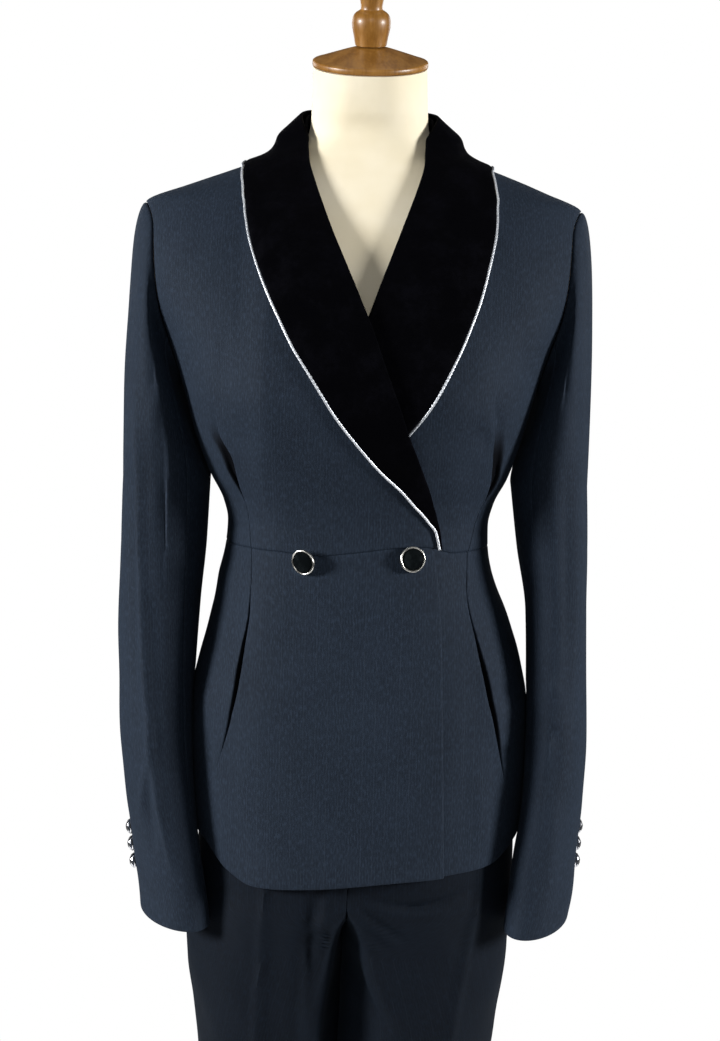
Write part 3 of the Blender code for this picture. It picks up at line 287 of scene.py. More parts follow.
def roll_line(side, height):
    lapel = LAPEL_RIGHT if side == RIGHT else LAPEL_LEFT
    line = [(rib.roll_height, rib.roll_out) for rib in lapel] + ROLL_ABOVE
    return np.interp(height, *zip(*line))


def armhole_angle(height, half_angle):
    middle, half = (ARMHOLE_LOW + SHOULDER_TIP) / 2, (SHOULDER_TIP - ARMHOLE_LOW) / 2
    u = (np.asarray(height, float) - middle) / half
    return half_angle * np.sqrt(np.clip(1 - u * u, 0, 1))


def armhole_rows(count):
    middle, half = (ARMHOLE_LOW + SHOULDER_TIP) / 2, (SHOULDER_TIP - ARMHOLE_LOW) / 2
    return middle - half * np.cos(np.linspace(0, math.pi, count))


# ---------------------------------------------------------------- meshes


def make(name, points, groups, finish, side=LEFT, uv=None, sharp=50):
    """A visible piece in its solid's place, from points in side coordinates and groups of faces, with
    flat cloth coordinates in metres."""
    points = np.asarray(points, float) * [side, 1, 1] + [0, 0, WAIST_HEIGHT]
    faces = [face for group in groups for face in np.asarray(group)[:, ::side].tolist()]
    mesh = bpy.data.meshes.new(name + "_fine")
    mesh.from_pydata(points.tolist(), [], faces)
    if uv is not None:
        layer = mesh.uv_layers.new(name="cloth")
        index = np.empty(len(mesh.loops), np.int64)
        mesh.loops.foreach_get("vertex_index", index)
        layer.data.foreach_set("uv", np.asarray(uv, float)[index].ravel())
    mesh.materials.append(finish)
    mesh.shade_smooth()
    mesh.set_sharp_from_angle(angle=math.radians(sharp))
    made = bpy.data.objects.new(name + "_fine", mesh)
    bpy.context.scene.collection.objects.link(made)
    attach(made, "root")
    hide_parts(name)
    return made


def grid_faces(rows, columns, start=0, closed=False):
    """Quads of a grid whose rows go up and run to the wearer's left, seen from outside."""
    i, j = np.meshgrid(np.arange(rows - 1), np.arange(columns if closed else columns - 1), indexing="ij")
    k = (j + 1) % columns
    quads = np.stack([i * columns + j, i * columns + k, (i + 1) * columns + k, (i + 1) * columns + j], -1)
    return quads.reshape(-1, 4) + start


def end_faces(rows, columns):
    """Triangles that shut a closed grid, from its first and last rows to the two points after it."""
    j = np.arange(columns)
    k, last, foot = (j + 1) % columns, (rows - 1) * columns, rows * columns
    return np.concatenate([np.stack([k, j, 0 * j + foot], -1), np.stack([last + j, last + k, 0 * j + foot + 1], -1)])


def shell(name, outer, inner, finish, slot, side, uv):
    """A closed cloth wall between two grids."""
    rows, columns = outer.shape[:2]
    index = np.arange(rows * columns).reshape(rows, columns)
    rim = np.concatenate([index[0], index[1:, -1], index[-1, -2::-1], index[-2:0:-1, 0]])
    ahead = np.roll(rim, -1)
    count = index.size
    sides = np.stack([ahead, rim, count + rim, count + ahead], -1)
    groups = [grid_faces(rows, columns), grid_faces(rows, columns, count)[:, ::-1], sides]
    flat = uv.reshape(-1, 2)
    points = np.concatenate([outer.reshape(-1, 3), inner.reshape(-1, 3)])
    return make(name, points, groups, finish, side, np.concatenate([flat, flat]))


def loft(name, rings, finish, side, uv):
    """A closed solid through rings of points going up, with flat ends."""
    count, around = rings.shape[:2]
    points = np.concatenate([rings.reshape(-1, 3), [rings[0].mean(axis=0), rings[-1].mean(axis=0)]])
    uv = np.concatenate([uv.reshape(-1, 2), [[0, 0], [0, uv[-1, 0, 1]]]])
    groups = [grid_faces(count, around, closed=True), end_faces(count, around)]
    return make(name, points, groups, finish, side, uv)


def placed(points, axis, seat):
    """Points made about +Z, turned to an axis and moved to their seat."""
    way = np.array(Vector(axis).to_track_quat("Z", "Y").to_matrix())
    return np.asarray(points) @ way.T + np.asarray(seat)


def turned(name, profile, steps, finish, seat, axis):
    """A turned piece: the profile runs from its foot up to its top, both on the axis."""
    profile = np.array(profile, float)
    turn = np.linspace(0, 2 * math.pi, steps + 1)[:-1]
    radius, height = profile[1:-1, :1], profile[1:-1, 1:]
    rings = np.stack([radius * np.cos(turn), radius * np.sin(turn), height + 0 * turn], -1)
    points = np.concatenate([rings.reshape(-1, 3), [[0, 0, profile[0, 1]], [0, 0, profile[-1, 1]]]])
    groups = [grid_faces(len(rings), steps, closed=True), end_faces(len(rings), steps)]
    uv = np.concatenate([rings[..., :2].reshape(-1, 2), [[0, 0], [0, 0]]])
    return make(name, placed(points, axis, seat), groups, finish, uv=uv)


def grid_normals(grid, closed=False):
    across_grid = (np.roll(grid, -1, 1) - np.roll(grid, 1, 1)) if closed else np.gradient(grid, axis=1)
    return unit(np.cross(across_grid, np.gradient(grid, axis=0)))


def hanging(points):
    """Length of each column of a grid from its first row."""
    steps = np.linalg.norm(np.diff(points, axis=0), axis=-1)
    return np.concatenate([np.zeros((1, points.shape[1])), np.cumsum(steps, axis=0)])


def run_length(line):
    """Distance of each point along a line from its first."""
    return hanging(line[:, None])[:, 0]


def flat_at(across_cloth, down_cloth):
    return np.stack(np.broadcast_arrays(across_cloth, down_cloth), -1)


def cut(grid):
    """Works out a piece of cloth's widest row, longest column and area, all round a tube."""
    width = np.linalg.norm(np.diff(grid, axis=1), axis=-1).sum(axis=1).max()
    length = np.linalg.norm(np.diff(grid, axis=0), axis=-1).sum(axis=0).max()
    one, two = grid[1:, 1:] - grid[:-1, :-1], grid[1:, :-1] - grid[:-1, 1:]
    area = np.linalg.norm(np.cross(one, two), axis=-1).sum() / 2
    area = min(max(area, LEAST_SHARE * width * length), width * length)


# ---------------------------------------------------------------- cloth detail

EDGE = np.array([0, 0.0003, 0.0008, 0.0016, 0.0030])  # distances of the columns next to an edge


def across(length, count):
    """Distances over each row, closer together at its two edges."""
    length = np.asarray(length, float)[..., None]
    reach = np.minimum(EDGE[-1], length / 4)
    near = EDGE / EDGE[-1] * reach
    middle = reach + (length - 2 * reach) * np.linspace(0, 1, count)[1:-1]
    return np.concatenate([near, middle, length - near[..., ::-1]], axis=-1)


def rolled(distance, drop=0.0009, width=0.0018):
    """How far a cloth's face turns in towards an edge."""
    return drop * np.clip(1 - distance / width, 0, 1) ** 2


fold_rows = table_of("a0 h0 a1 h1 a2 h2 wide high *view", "front")  # three points of a curve, from one side
VIEWS = {"front": (0, (0, -1, 0)), "back": (0, (0, 1, 0)), "side": (1, (1, 0, 0))}


def folds(table, points, normals):
    """Soft ridges and troughs along curved lines, each seen from one side and fading out at its ends."""
    total = np.zeros(points.shape[:-1])
    t = np.linspace(0, 1, 17)
    for fold in table:
        axis, way = VIEWS[fold.view]
        facing = smooth(0.0, 0.45, normals @ np.array(way, float))
        a, h = points[..., axis], points[..., 2]
        points_of_line = (fold.a0, fold.a1, fold.a2), (fold.h0, fold.h1, fold.h2)
        line = np.stack([(1 - t) ** 2 * p + 2 * t * (1 - t) * q + t * t * r for p, q, r in points_of_line], -1)
        low, high = line.min(axis=0) - 3 * fold.wide, line.max(axis=0) + 3 * fold.wide
        near = (facing > 0) & (a > low[0]) & (a < high[0]) & (h > low[1]) & (h < high[1])
        if not near.any():
            continue
        spot = np.stack([a[near], h[near]], -1)[:, None]
        start, step = line[None, :-1], np.diff(line, axis=0)[None]
        share = np.clip(((spot - start) * step).sum(-1) / (step**2).sum(-1), 0, 1)
        gap = np.linalg.norm(spot - start - share[..., None] * step, axis=-1)
        best = gap.argmin(axis=1)
        pick = np.arange(len(best))
        place = (best + share[pick, best]) / (len(t) - 1)
        taper = np.sin(math.pi * np.clip(place, 0, 1)) ** 0.8
        total[near] += fold.high * np.exp(-((gap[pick, best] / fold.wide) ** 2)) * taper * facing[near]
    return total


def ripple(points, seed, size=0.00025):
    """Slight unevenness of cloth that hangs free."""
    rng = np.random.default_rng(seed)
    total = np.zeros(points.shape[:-1])
    for _ in range(7):
        way = rng.normal(size=3) * [1, 1, 0.35]
        way *= rng.uniform(60, 190) / np.linalg.norm(way)
        total += np.sin(points @ way + rng.uniform(0, 6.28))
    return total * size / 2.2


class Girth:
    """The body's outer face at some heights, measured round it in metres from the centre front."""

    def __init__(self, side, height):
        self.angles = np.linspace(-1.3, math.pi, 900)
        radius = torso_radius(side, self.angles, np.asarray(height)[:, None])
        step = np.hypot(np.diff(radius), (radius[:, 1:] + radius[:, :-1]) / 2 * np.diff(self.angles))
        length = np.concatenate([np.zeros((len(radius), 1)), np.cumsum(step, axis=1)], axis=1)
        zero = np.array([np.interp(0, self.angles, row) for row in length])
        self.length = length - zero[:, None]

    def measure(self, angle):
        return np.array([np.interp(a, self.angles, row) for a, row in zip(angle, self.length)])

    def angle(self, distance):
        return np.array([np.interp(d, row, self.angles) for d, row in zip(distance, self.length)])


# ---------------------------------------------------------------- open tucks

# Columns about a tuck's fold. Shut: how far past the fold and how high each lies. Open: how far past it, plus
# a share of the slot's width and of the far side's softness, then how much of the near edge's lift, of the
# slot's depth and of the far edge's lift it takes, and how much painted shade it takes inside the fold.
column_rows = table_of("shut_past shut_high open_past *wide *soft *near *deep *far *inside")
TUCK = column_rows(
    (-30, 0, -30, 0, 0, 0, 0, 0, 0), (-21, 0, -20.5, 0, 0, 0.1, 0, 0, 0), (-14, 0, -13, 0, 0, 0.3, 0, 0, 0),
    (-9, 0, -8, 0, 0, 0.57, 0, 0, 0), (-5.5, 0, -4.6, 0, 0, 0.82, 0, 0, 0),
    (-3.2, 0, -2.3, 0, 0, 0.95, 0, 0, 0), (-1.9, 0.02, -1, 0, 0, 1, 0, 0, 0),
    (-1.1, 0, -0.35, 0, 0, 0.96, 0, 0, 0), (-0.7, -0.12, 0, 0, 0, 0.82, 0, 0, 0.25),
    (-0.42, -0.38, 0.1, 0, 0, 0.62, 0, 0, 0.9), (-0.2, -0.7, 0, 0, 0, 0.42, 0, 0, 1),
    (-0.05, -0.9, -0.9, 0, 0, 0.2, 0.05, 0, 1), (0.05, -0.9, -2, 0, 0, 0.05, 0.3, 0, 1),
    (0.18, -0.8, -2.2, 0, 0, 0, 0.7, 0, 1), (0.32, -0.62, -1, 0, 0, 0, 1, 0, 1),
    (0.5, -0.42, 0, 0.35, 0, 0, 1, 0, 1), (0.72, -0.26, 0, 0.75, 0, 0, 1, 0, 1),
    (1.05, -0.12, -0.3, 1, 0, 0, 0.92, 0, 1), (1.35, -0.06, -0.1, 1, 0.3, 0, 0.55, 0.1, 1),
    (1.7, -0.03, 0, 1, 0.55, 0, 0.12, 0.45, 0.85), (2.2, 0, 0.5, 1, 0.8, 0, 0, 0.85, 0.3),
    (3.4, 0, 1.5, 1, 1, 0, 0, 1, 0), (5.6, 0, 4, 1, 1, 0, 0, 0.85, 0), (9, 0, 8, 1, 0.95, 0, 0, 0.55, 0),
    (14.5, 0, 14, 1, 0.8, 0, 0, 0.22, 0), (22, 0, 22, 1, 0.5, 0, 0, 0, 0),
)
TUCK_BEFORE, TUCK_AFTER = 0.030, 0.030
TUCK_FADE, TUCK_ENDS_AT = (0.150, 0.235), 0.52  # above these heights its line runs at this share of the panel
# Painted shade: from the second depth on, the cloth inside an open tuck is painted near black.
OPEN_DEPTH, PAINTED_SHADE_DEPTH = 0.0010, 0.0036  # it is open from the first on, and dark inside from the second
gape_rows = table_of("height wide soft near deep far *seam")
BODICE_GAPES = {
    RIGHT: gape_rows(
        (0, 0, 0, 0, 0, 0, 1), (33, 0, 0, 0, 0, 0, 1), (43, 1, 0, 0.4, 1.2, 0.1, 0.5),
        (54, 3, 0.3, 0.8, 2.6, 0.4, 0), (63, 6.8, 0.8, 1.3, 3.5, 0.6, 0), (73, 11, 2, 1.7, 3.8, 0.5, 0),
        (85, 11.5, 5, 1.8, 3.8, 0.2, 0), (99, 9, 9, 1.5, 2.9, 0, 0), (113, 7, 12, 0.9, 1.5, 0, 0),
        (130, 5, 14, 0.4, 0.5, 0, 0), (152, 3, 12, 0, 0, 0, 0.15), (205, 2, 10, 0, 0, 0, 0),
    ),
    LEFT: gape_rows(
        (0, 0, 0, 0, 0, 0, 1), (33, 0, 0, 0, 0, 0, 1), (44, 1.2, 0, 0.4, 1.2, 0.2, 0.4),
        (51, 4, 0.4, 0.8, 2.6, 0.5, 0), (61, 10.5, 0.8, 1.2, 3.6, 0.8, 0), (73, 14, 1.5, 1.5, 3.8, 0.9, 0),
        (85, 14, 4, 1.4, 3.6, 0.5, 0), (98, 11, 8, 0.8, 2.9, 0.2, 0), (112, 8, 11, 0.4, 1.9, 0, 0),
        (130, 5, 14, 0.3, 0.6, 0, 0), (155, 3, 12, 0, 0, 0, 0.1), (205, 2, 10, 0, 0, 0, 0),
    ),
}
SKIRT_GAPES = {
    RIGHT: gape_rows(
        (-300, 0.3, 2, 0, 0, 0, 0), (-225, 0.4, 2, 0.1, 0, 0, 0), (-200, 0.5, 1, 0.3, 0.3, 0.1, 0.2),
        (-185, 1.7, 0.4, 0.9, 1.5, 0.5, 0), (-163, 3.3, 0.4, 1.6, 2.8, 0.9, 0),
        (-137, 5.2, 0.5, 2.3, 3.4, 1.3, 0), (-119, 6, 0.5, 2.5, 3.5, 1.5, 0), (-94, 4.8, 0.4, 2.2, 3.3, 1.4, 0),
        (-74, 3, 0.3, 1.7, 2.8, 1.1, 0), (-55, 2.2, 0.2, 1, 1.8, 0.7, 0.1), (-38, 0.8, 0, 0.3, 0.5, 0.2, 0.7),
        (-32, 0, 0, 0, 0, 0, 1), (0, 0, 0, 0, 0, 0, 1),
    ),
    LEFT: gape_rows(
        (-300, 0.3, 2, 0, 0, 0, 0), (-252, 0.4, 1.5, 0.1, 0, 0, 0), (-230, 0.5, 1, 0.3, 0.3, 0.1, 0.2),
        (-201, 2.3, 0.4, 1, 1.8, 0.5, 0), (-177, 4.5, 0.4, 1.8, 3, 1, 0), (-153, 5.8, 0.5, 2.4, 3.4, 1.3, 0),
        (-128, 6.6, 0.5, 2.6, 3.5, 1.5, 0), (-112, 6, 0.4, 2.3, 3.4, 1.4, 0), (-90, 4, 0.3, 1.8, 2.9, 1.1, 0),
        (-68, 2.1, 0.2, 1, 1.7, 0.6, 0.1), (-44, 0.8, 0, 0.3, 0.5, 0.2, 0.7), (-35, 0, 0, 0, 0, 0, 1),
        (0, 0, 0, 0, 0, 0, 1),
    ),
}


def tucked(side, girth, start, end, height, table, gapes, before, after, seam):
    """Columns across a tucked front: distances round the body and heights off it, the same for the
    wall's inner face, which runs straight under the fold, how near an edge each is, and how much painted shade it
    takes."""
    first, last = (girth.measure(angle[:, None]) for angle in (start, end))
    fold = girth.measure(angle_at(side, along(table, "out", height), height)[:, None])
    fades = smooth(*TUCK_FADE, height)[:, None]
    fold = fold * (1 - fades) + (first + TUCK_ENDS_AT * (last - first)) * fades
    names = ("wide", "soft", "near", "deep", "far")
    wide, soft, near, deep, far = (along(gapes, name, height)[:, None] for name in names)
    shows = along(gapes, "seam", height)[:, None] * np.asarray(seam)[:, None]
    columns = np.array(TUCK).T
    shut_past, shut_high, open_past = columns[:3]
    by_wide, by_soft, by_near, by_deep, by_far, inside = columns[3:]
    opens = smooth(0, OPEN_DEPTH, deep)
    open_past = open_past * opens + shut_past * (1 - opens)
    past = open_past + (by_wide * wide + by_soft * soft) * opens
    before_room, after_room = 0.6 * (fold - first) / TUCK_BEFORE, 0.6 * (last - fold) / (TUCK_AFTER + 0.004)
    past = past * np.where(past < 0, np.minimum(1, before_room), np.minimum(1, after_room))
    low, high = fold + past[:, :1], fold + past[:, -1:]
    left = first + across((low - first)[:, 0], before)[:, :-1]
    right = high + across((last - high)[:, 0], after)[:, 1:]
    distance = np.concatenate([left, fold + past, right], axis=1)
    lift = shut_high * shows + by_near * near - by_deep * deep + by_far * far
    lift = np.concatenate([0 * left, lift, 0 * right], axis=1)
    # Painted shade: the stitched line and the inside of an open tuck get a share of near-black colour, more as the
    # tuck opens deeper.
    stitch_line_shade = shows * np.maximum(1 - np.abs(shut_past) / 0.0006, 0)
    dark = np.maximum(inside * smooth(OPEN_DEPTH, PAINTED_SHADE_DEPTH, deep), stitch_line_shade)
    dark = np.concatenate([0 * left, dark, 0 * right], axis=1)
    under = low + (high - low) * np.linspace(0, 1, len(TUCK))
    reach = wide + soft
    bell = smooth(fold - 0.014, fold - 0.006, under) * smooth(fold + reach + 0.006, fold + 0.4 * reach + 0.001, under)
    inner_distance = np.concatenate([left, under, right], axis=1)
    inner_lift = np.concatenate([0 * left, -deep * bell, 0 * right], axis=1)
    edge = np.minimum(distance - first, last - distance)
    return distance, lift, inner_distance, inner_lift, np.maximum(edge, 0), dark


# ---------------------------------------------------------------- jacket body

BODICE_ROWS = np.concatenate([  # heights, from the waist seam to the shoulder
    SEAM + np.array([0, 0.0003, 0.0008, 0.0016]), np.linspace(0.0032, 0.1475, 44), armhole_rows(44),
    [0.3142, 0.3158, 0.3180, 0.3205, 0.3235, 0.3270, 0.3310, 0.3355, 0.3400, 0.3450, 0.3500, 0.3545, SHOULDER_TOP],
])
SKIRT_DOWN = np.concatenate([  # shares of the length, from the hem to the waist seam
    1 - np.array([0, 0.0010, 0.0028, 0.0060]), np.linspace(0.985, 0.012, 76), [0.0058, 0.0030, 0.0013, 0],
])

BODICE_FRONT_FOLDS = {
    RIGHT: fold_rows(
        (115, 120, 121, 160, 118, 215, 7, -1.2), (102, 105, 108, 150, 105, 200, 11, 0.8),
        (100, 12, 108, 20, 120, 22, 4, -0.8), (62, 4, 78, 22, 90, 48, 7.5, 0.7),
        (40, 4, 50, 30, 56, 62, 8, -0.6), (142, 196, 150, 170, 144, 140, 8, -1),
        (156, 235, 150, 215, 138, 200, 9, -0.8),
    ),
    LEFT: fold_rows(
        (125, 105, 125, 130, 120, 165, 6, -1.2), (118, 88, 112, 108, 102, 122, 4.5, -1.1),
        (123, 100, 117, 117, 108, 132, 4, 0.9), (128, 112, 124, 130, 115, 148, 5, -1),
        (112, 14, 120, 20, 126, 18, 4, -0.8), (70, 60, 86, 66, 102, 76, 8, 0.8),
        (142, 200, 152, 172, 146, 142, 8, -1),
    ),
}
BODICE_BACK_FOLDS = fold_rows(
    (20, 12, 55, 20, 90, 10, 6, -1.4, "back"), (15, 30, 50, 42, 88, 32, 7, 1.2, "back"),
    (30, 48, 60, 58, 95, 46, 7, -1, "back"), (135, 150, 120, 200, 122, 262, 11, -1.4, "back"),
    (110, 120, 102, 170, 106, 230, 12, 0.8, "back"),
)
SKIRT_FRONT_FOLDS = {
    RIGHT: fold_rows(
        (101, -110, 100, -190, 94, -275, 8, 1.2), (83, -160, 80, -220, 78, -296, 13, -0.9),
        (134, -90, 142, -170, 144, -262, 11, 1.2), (30, -10, 42, -60, 40, -130, 15, 0.6),
        (-15, -20, -10, -80, 0, -150, 14, -0.6),
    ),
    LEFT: fold_rows(
        (118, -200, 124, -245, 126, -292, 7, 1.2), (144, -100, 156, -180, 156, -262, 11, 1.2),
        (108, -90, 105, -170, 108, -285, 9, -0.9),
    ),
}
SKIRT_BACK_FOLDS = fold_rows(
    (42, -80, 48, -180, 46, -290, 15, 2.8, "back"), (82, -60, 90, -170, 88, -290, 14, -2.6, "back"),
    (124, -100, 133, -180, 132, -280, 13, 2.4, "back"), (10, -120, 12, -200, 13, -290, 12, -1.6, "back"),
    (20, -12, 55, -22, 90, -14, 6, 1.2, "back"),
)


def body_piece(word, side, girth, columns, height, table, seed, finish, roll, free, held, rests_on):
    """A jacket panel with its folds, thickened inwards. columns come from tucked() or plain_columns()."""
    distance, lift, inner_distance, inner_lift, edge, dark = columns
    rows = np.broadcast_to(height, distance.shape)

    def base(angle):
        return front_lift(side, angle, rows) if "front" in word else 0 * angle

    angle, inner_angle = girth.angle(distance), girth.angle(inner_distance)
    skin = torso(side, angle, rows, base(angle))
    ahead = torso(side, angle, rows, base(angle) + 1.0) - skin
    relief = folds(table, skin, ahead) + ripple(skin, seed + side) * free
    relief = relief * smooth(0.0, STILL_AT_EDGE, edge) - rolled(edge) - roll
    outer = skin + ahead * (lift + relief)[..., None]
    under = inner_lift + np.minimum(relief, INNER_RELIEF) * 0.8 - CLOTH
    inner = torso(side, inner_angle, rows, base(inner_angle) + under)
    uv = flat_at(distance, hanging(skin))
    made = shell(f"jacket_{word}_{NAME[side]}", outer, inner, finish, "suiting", side, uv)
    # Painted shade inside the tucks, stored on the outer face's points for the suiting to darken its colour.
    inside = made.data.attributes.new("painted_fold_shade", "FLOAT", "POINT")
    inside.data.foreach_set("value", np.concatenate([dark.ravel(), 0 * dark.ravel()]))
    cut(outer)


def plain_columns(girth, start, end, count):
    """Distances round the body between two seams, with nothing between them."""
    first, last = girth.measure(start[:, None]), girth.measure(end[:, None])
    distance = first + across((last - first)[:, 0], count)
    none = 0 * distance
    return distance, none, distance, none, np.maximum(np.minimum(distance - first, last - distance), 0), none


def bodice(side, finish):
    """The front and back panels above the waist seam."""
    height, girth = BODICE_ROWS, Girth(side, BODICE_ROWS)
    roll, hangs = rolled(height - SEAM)[:, None], smooth(0.0, 0.03, height)
    start = aside(side, angle_at(side, roll_line(side, height), height), height, UNDER_COLLAR)
    end = aside(side, math.pi / 2 - armhole_angle(height, ARMHOLE_FRONT), height, -SEAM)
    stitched = 1 - smooth(0.100, 0.140, height)
    columns = tucked(side, girth, start, end, height, BODICE_TUCKS[side], BODICE_GAPES[side], 34, 16, stitched)
    free = (hangs * (1 - smooth(0.27, 0.31, height)))[:, None]
    rest = finish, roll, free, "draped", ["form_torso"]
    body_piece("front", side, girth, columns, height[:, None], BODICE_FRONT_FOLDS[side], 11, *rest)
    start = aside(side, math.pi / 2 + armhole_angle(height, ARMHOLE_BACK), height, SEAM)
    end = aside(side, math.pi, height, -SEAM)
    free = (hangs * (1 - smooth(0.29, 0.32, height)))[:, None]
    rest = finish, roll, free, "draped", ["form_torso"]
    columns = plain_columns(girth, start, end, 40)
    body_piece("back", side, girth, columns, height[:, None], BODICE_BACK_FOLDS, 21, *rest)


def skirt_panel(word, side, girth, columns, hem, table, seed, finish):
    foot = along(hem, "height", np.degrees(girth.angle(columns[0])[0]))
    height = -SEAM + (foot + SEAM) * SKIRT_DOWN[:, None]
    roll = rolled(-SEAM - height) + rolled(height - foot, 0.0007, 0.0020)
    free = smooth(-0.01, -0.06, height)
    rest = roll, free, "hung", [f"jacket_{word}_{NAME[side]}"]
    body_piece(f"skirt_{word}", side, girth, columns, height, table, seed, finish, *rest)


def skirt(side, finish):
    """The front and back panels below the waist seam."""
    level = -SEAM + (SKIRT_FRONT_FOOT + SEAM) * SKIRT_DOWN
    girth = Girth(side, level)
    past = -along(OVERLAP, "past", level) if side == RIGHT else np.full(len(level), -UNDERLAP)
    start = angle_at(side, past, level)
    end = aside(side, math.pi / 2 + 0 * level, level, -SEAM)
    stitched = 1 - smooth(-0.20, -0.24, level)
    columns = tucked(side, girth, start, end, level, SKIRT_TUCKS[side], SKIRT_GAPES[side], 52, 26, stitched)
    hem = HEM_RIGHT if side == RIGHT else HEM_LEFT
    skirt_panel("front", side, girth, columns, hem, SKIRT_FRONT_FOLDS[side], 31, finish)
    level = -SEAM + (SKIRT_BACK_FOOT + SEAM) * SKIRT_DOWN
    girth = Girth(side, level)
    start, end = (np.full(len(level), aside(side, a, -0.1, d)) for a, d in ((math.pi / 2, SEAM), (math.pi, -SEAM)))
    skirt_panel("back", side, girth, plain_columns(girth, start, end, 56), HEM_BACK, SKIRT_BACK_FOLDS, 41, finish)


# ---------------------------------------------------------------- sleeves

SLEEVE_FOLDS = {
    RIGHT: fold_rows(
        (204, 160, 196.5, 20, 190, -140, 6, 4.6), (204, 170, 196.5, 20, 189.5, -140, 2.2, 1.2),
        (192.5, -20, 188, -120, 180, -225, 2.2, 1.2), (183.5, -140, 180, -230, 158, -310, 2.4, 1.2),
        (192.5, -30, 188, -120, 181.5, -205, 5.5, 4.2), (182, -150, 186, -210, 195, -260, 4.5, 3),
        (182.5, -150, 180, -230, 158, -300, 5.2, 3.4), (184.5, -210, 183.5, -245, 180, -285, 5, -2),
        (184, 120, 163, 0, 154, -130, 10.5, -3.4), (158, -40, 153, -130, 145, -230, 7.5, -4.4),
        (170, -116, 165, -133, 159, -150, 4.5, -1.8), (208.5, 120, 204.5, -20, 198.5, -150, 5.5, -3.6),
        (160, 95, 150, 80, 140, 50, 4, 1.8), (162, 80, 151, 64, 143, 35, 4, -1.6),
        (174, -264, 174.2, -275, 173.8, -286, 3, 1.2), (190, 250, 196, 210, 196, 160, 8, 1.2),
        (178, 180, 183, 150, 193, 130, 7, -1.8), (146, -60, 166, -42, 186, -66, 6, -2.6, "back"),
        (148, -85, 168, -74, 188, -98, 6.5, 2.2, "back"), (150, -120, 168, -112, 186, -130, 6, -2.2, "back"),
        (0, -70, 18, -62, 36, -80, 7, -1.2, "side"), (-20, 240, -15, 120, -20, 0, 10, 1.4, "side"),
    ),
    LEFT: fold_rows(
        (161, -134, 172, -150, 188, -164, 5, -4.4), (170, -154, 177, -170, 188, -178, 5, 2.6),
        (174, -105, 180, -118, 190, -126, 5.5, 2.6), (170, -140, 160, -225, 145, -320, 7, -4.2),
        (184, -140, 173.5, -220, 156, -320, 5, 2.8), (198.5, 110, 207.5, -30, 206, -190, 6, 2.4),
        (188, 100, 196, -30, 195, -160, 7, -2), (182, -200, 186, -250, 190, -320, 8, 1.4),
        (165, 90, 164, 30, 168, -110, 4.5, 2.6), (158, 80, 155, 10, 159, -100, 6, -3.4),
        (190, 250, 196, 210, 196, 160, 8, 1.2), (178, 180, 183, 150, 193, 130, 7, -1.8),
        (160, -50, 179, -36, 198, -56, 6, -2.4, "back"), (162, -80, 180, -70, 199, -90, 6.5, 2, "back"),
        (164, -112, 181, -106, 198, -122, 6, -2.2, "back"), (0, -120, 18, -110, 36, -122, 7, -1.2, "side"),
        (-20, 240, -15, 120, -20, 0, 10, 1.4, "side"),
    ),
}


def sleeve_ring(side, height, turn_angle):
    out, half_wide, middle, half_deep, turn = (along(SLEEVES[side], name, height) for name in RING)
    lean = np.radians(turn)
    x, y = half_wide * np.cos(turn_angle), half_deep * np.sin(turn_angle)
    ring_x = out + x * np.cos(lean) - y * np.sin(lean)
    ring_y = middle + y * np.cos(lean) + x * np.sin(lean)
    return np.stack([ring_x, ring_y, height + 0 * x], -1)


def clear_of_body(side, points, distance):
    back = along(JACKET, "side", points[..., 2]) - points[..., 1]
    angle, radius = np.arctan2(points[..., 0], back), np.hypot(points[..., 0], back)
    need = np.maximum(torso_radius(side, angle, points[..., 2]) + distance - radius, 0)
    push = np.stack([need * np.sin(angle), -need * np.cos(angle), 0 * need], -1)
    return points + push * smooth(ARMHOLE_LOW - 0.002, ARMHOLE_LOW - 0.010, points[..., 2:3])


def armhole_loop(side, count):
    """Points round the armhole from the shoulder tip down the back and up the front, with their turn."""
    rows = armhole_rows(count)
    down, up = rows[::-1], rows[1:]
    back = torso(side, math.pi / 2 + armhole_angle(down, ARMHOLE_BACK), down)
    front = torso(side, math.pi / 2 - armhole_angle(up, ARMHOLE_FRONT), up)
    points = np.concatenate([back, front])
    around = run_length(points)
    return points, 2 * math.pi * around / around[-1]


def sleeve_cap(side, turn):
    """Rows of the sleeve's cap, on curves from the armhole to the ring at its foot."""
    loop, loop_turn = armhole_loop(side, 120)
    start = np.stack([np.interp(turn % (2 * math.pi), loop_turn, loop[:, axis]) for axis in range(3)], -1)
    start = start + unit(loop.mean(axis=0) - start) * SEAM * 2
    foot = sleeve_ring(side, CAP_FOOT, turn)
    high_up = (np.cos(turn) + 1) / 2
    leave = np.stack([0.4 + 0.55 * high_up, 0.35 * np.sin(turn), -0.85 + 0.50 * high_up], -1)
    leave *= (0.020 - 0.004 * high_up)[:, None]
    arrive = np.stack([0 * turn, 0 * turn, 0.025 + 0.115 * high_up], -1)
    u = np.concatenate([[0.0, 0.006, 0.015, 0.03], np.linspace(0.05, 0.98, 34)])[:, None, None]
    ends = (1 - u) ** 3 * start + u**3 * foot
    return ends + 3 * u * (1 - u) ** 2 * (start + leave) + 3 * u * u * (1 - u) * (foot + arrive)


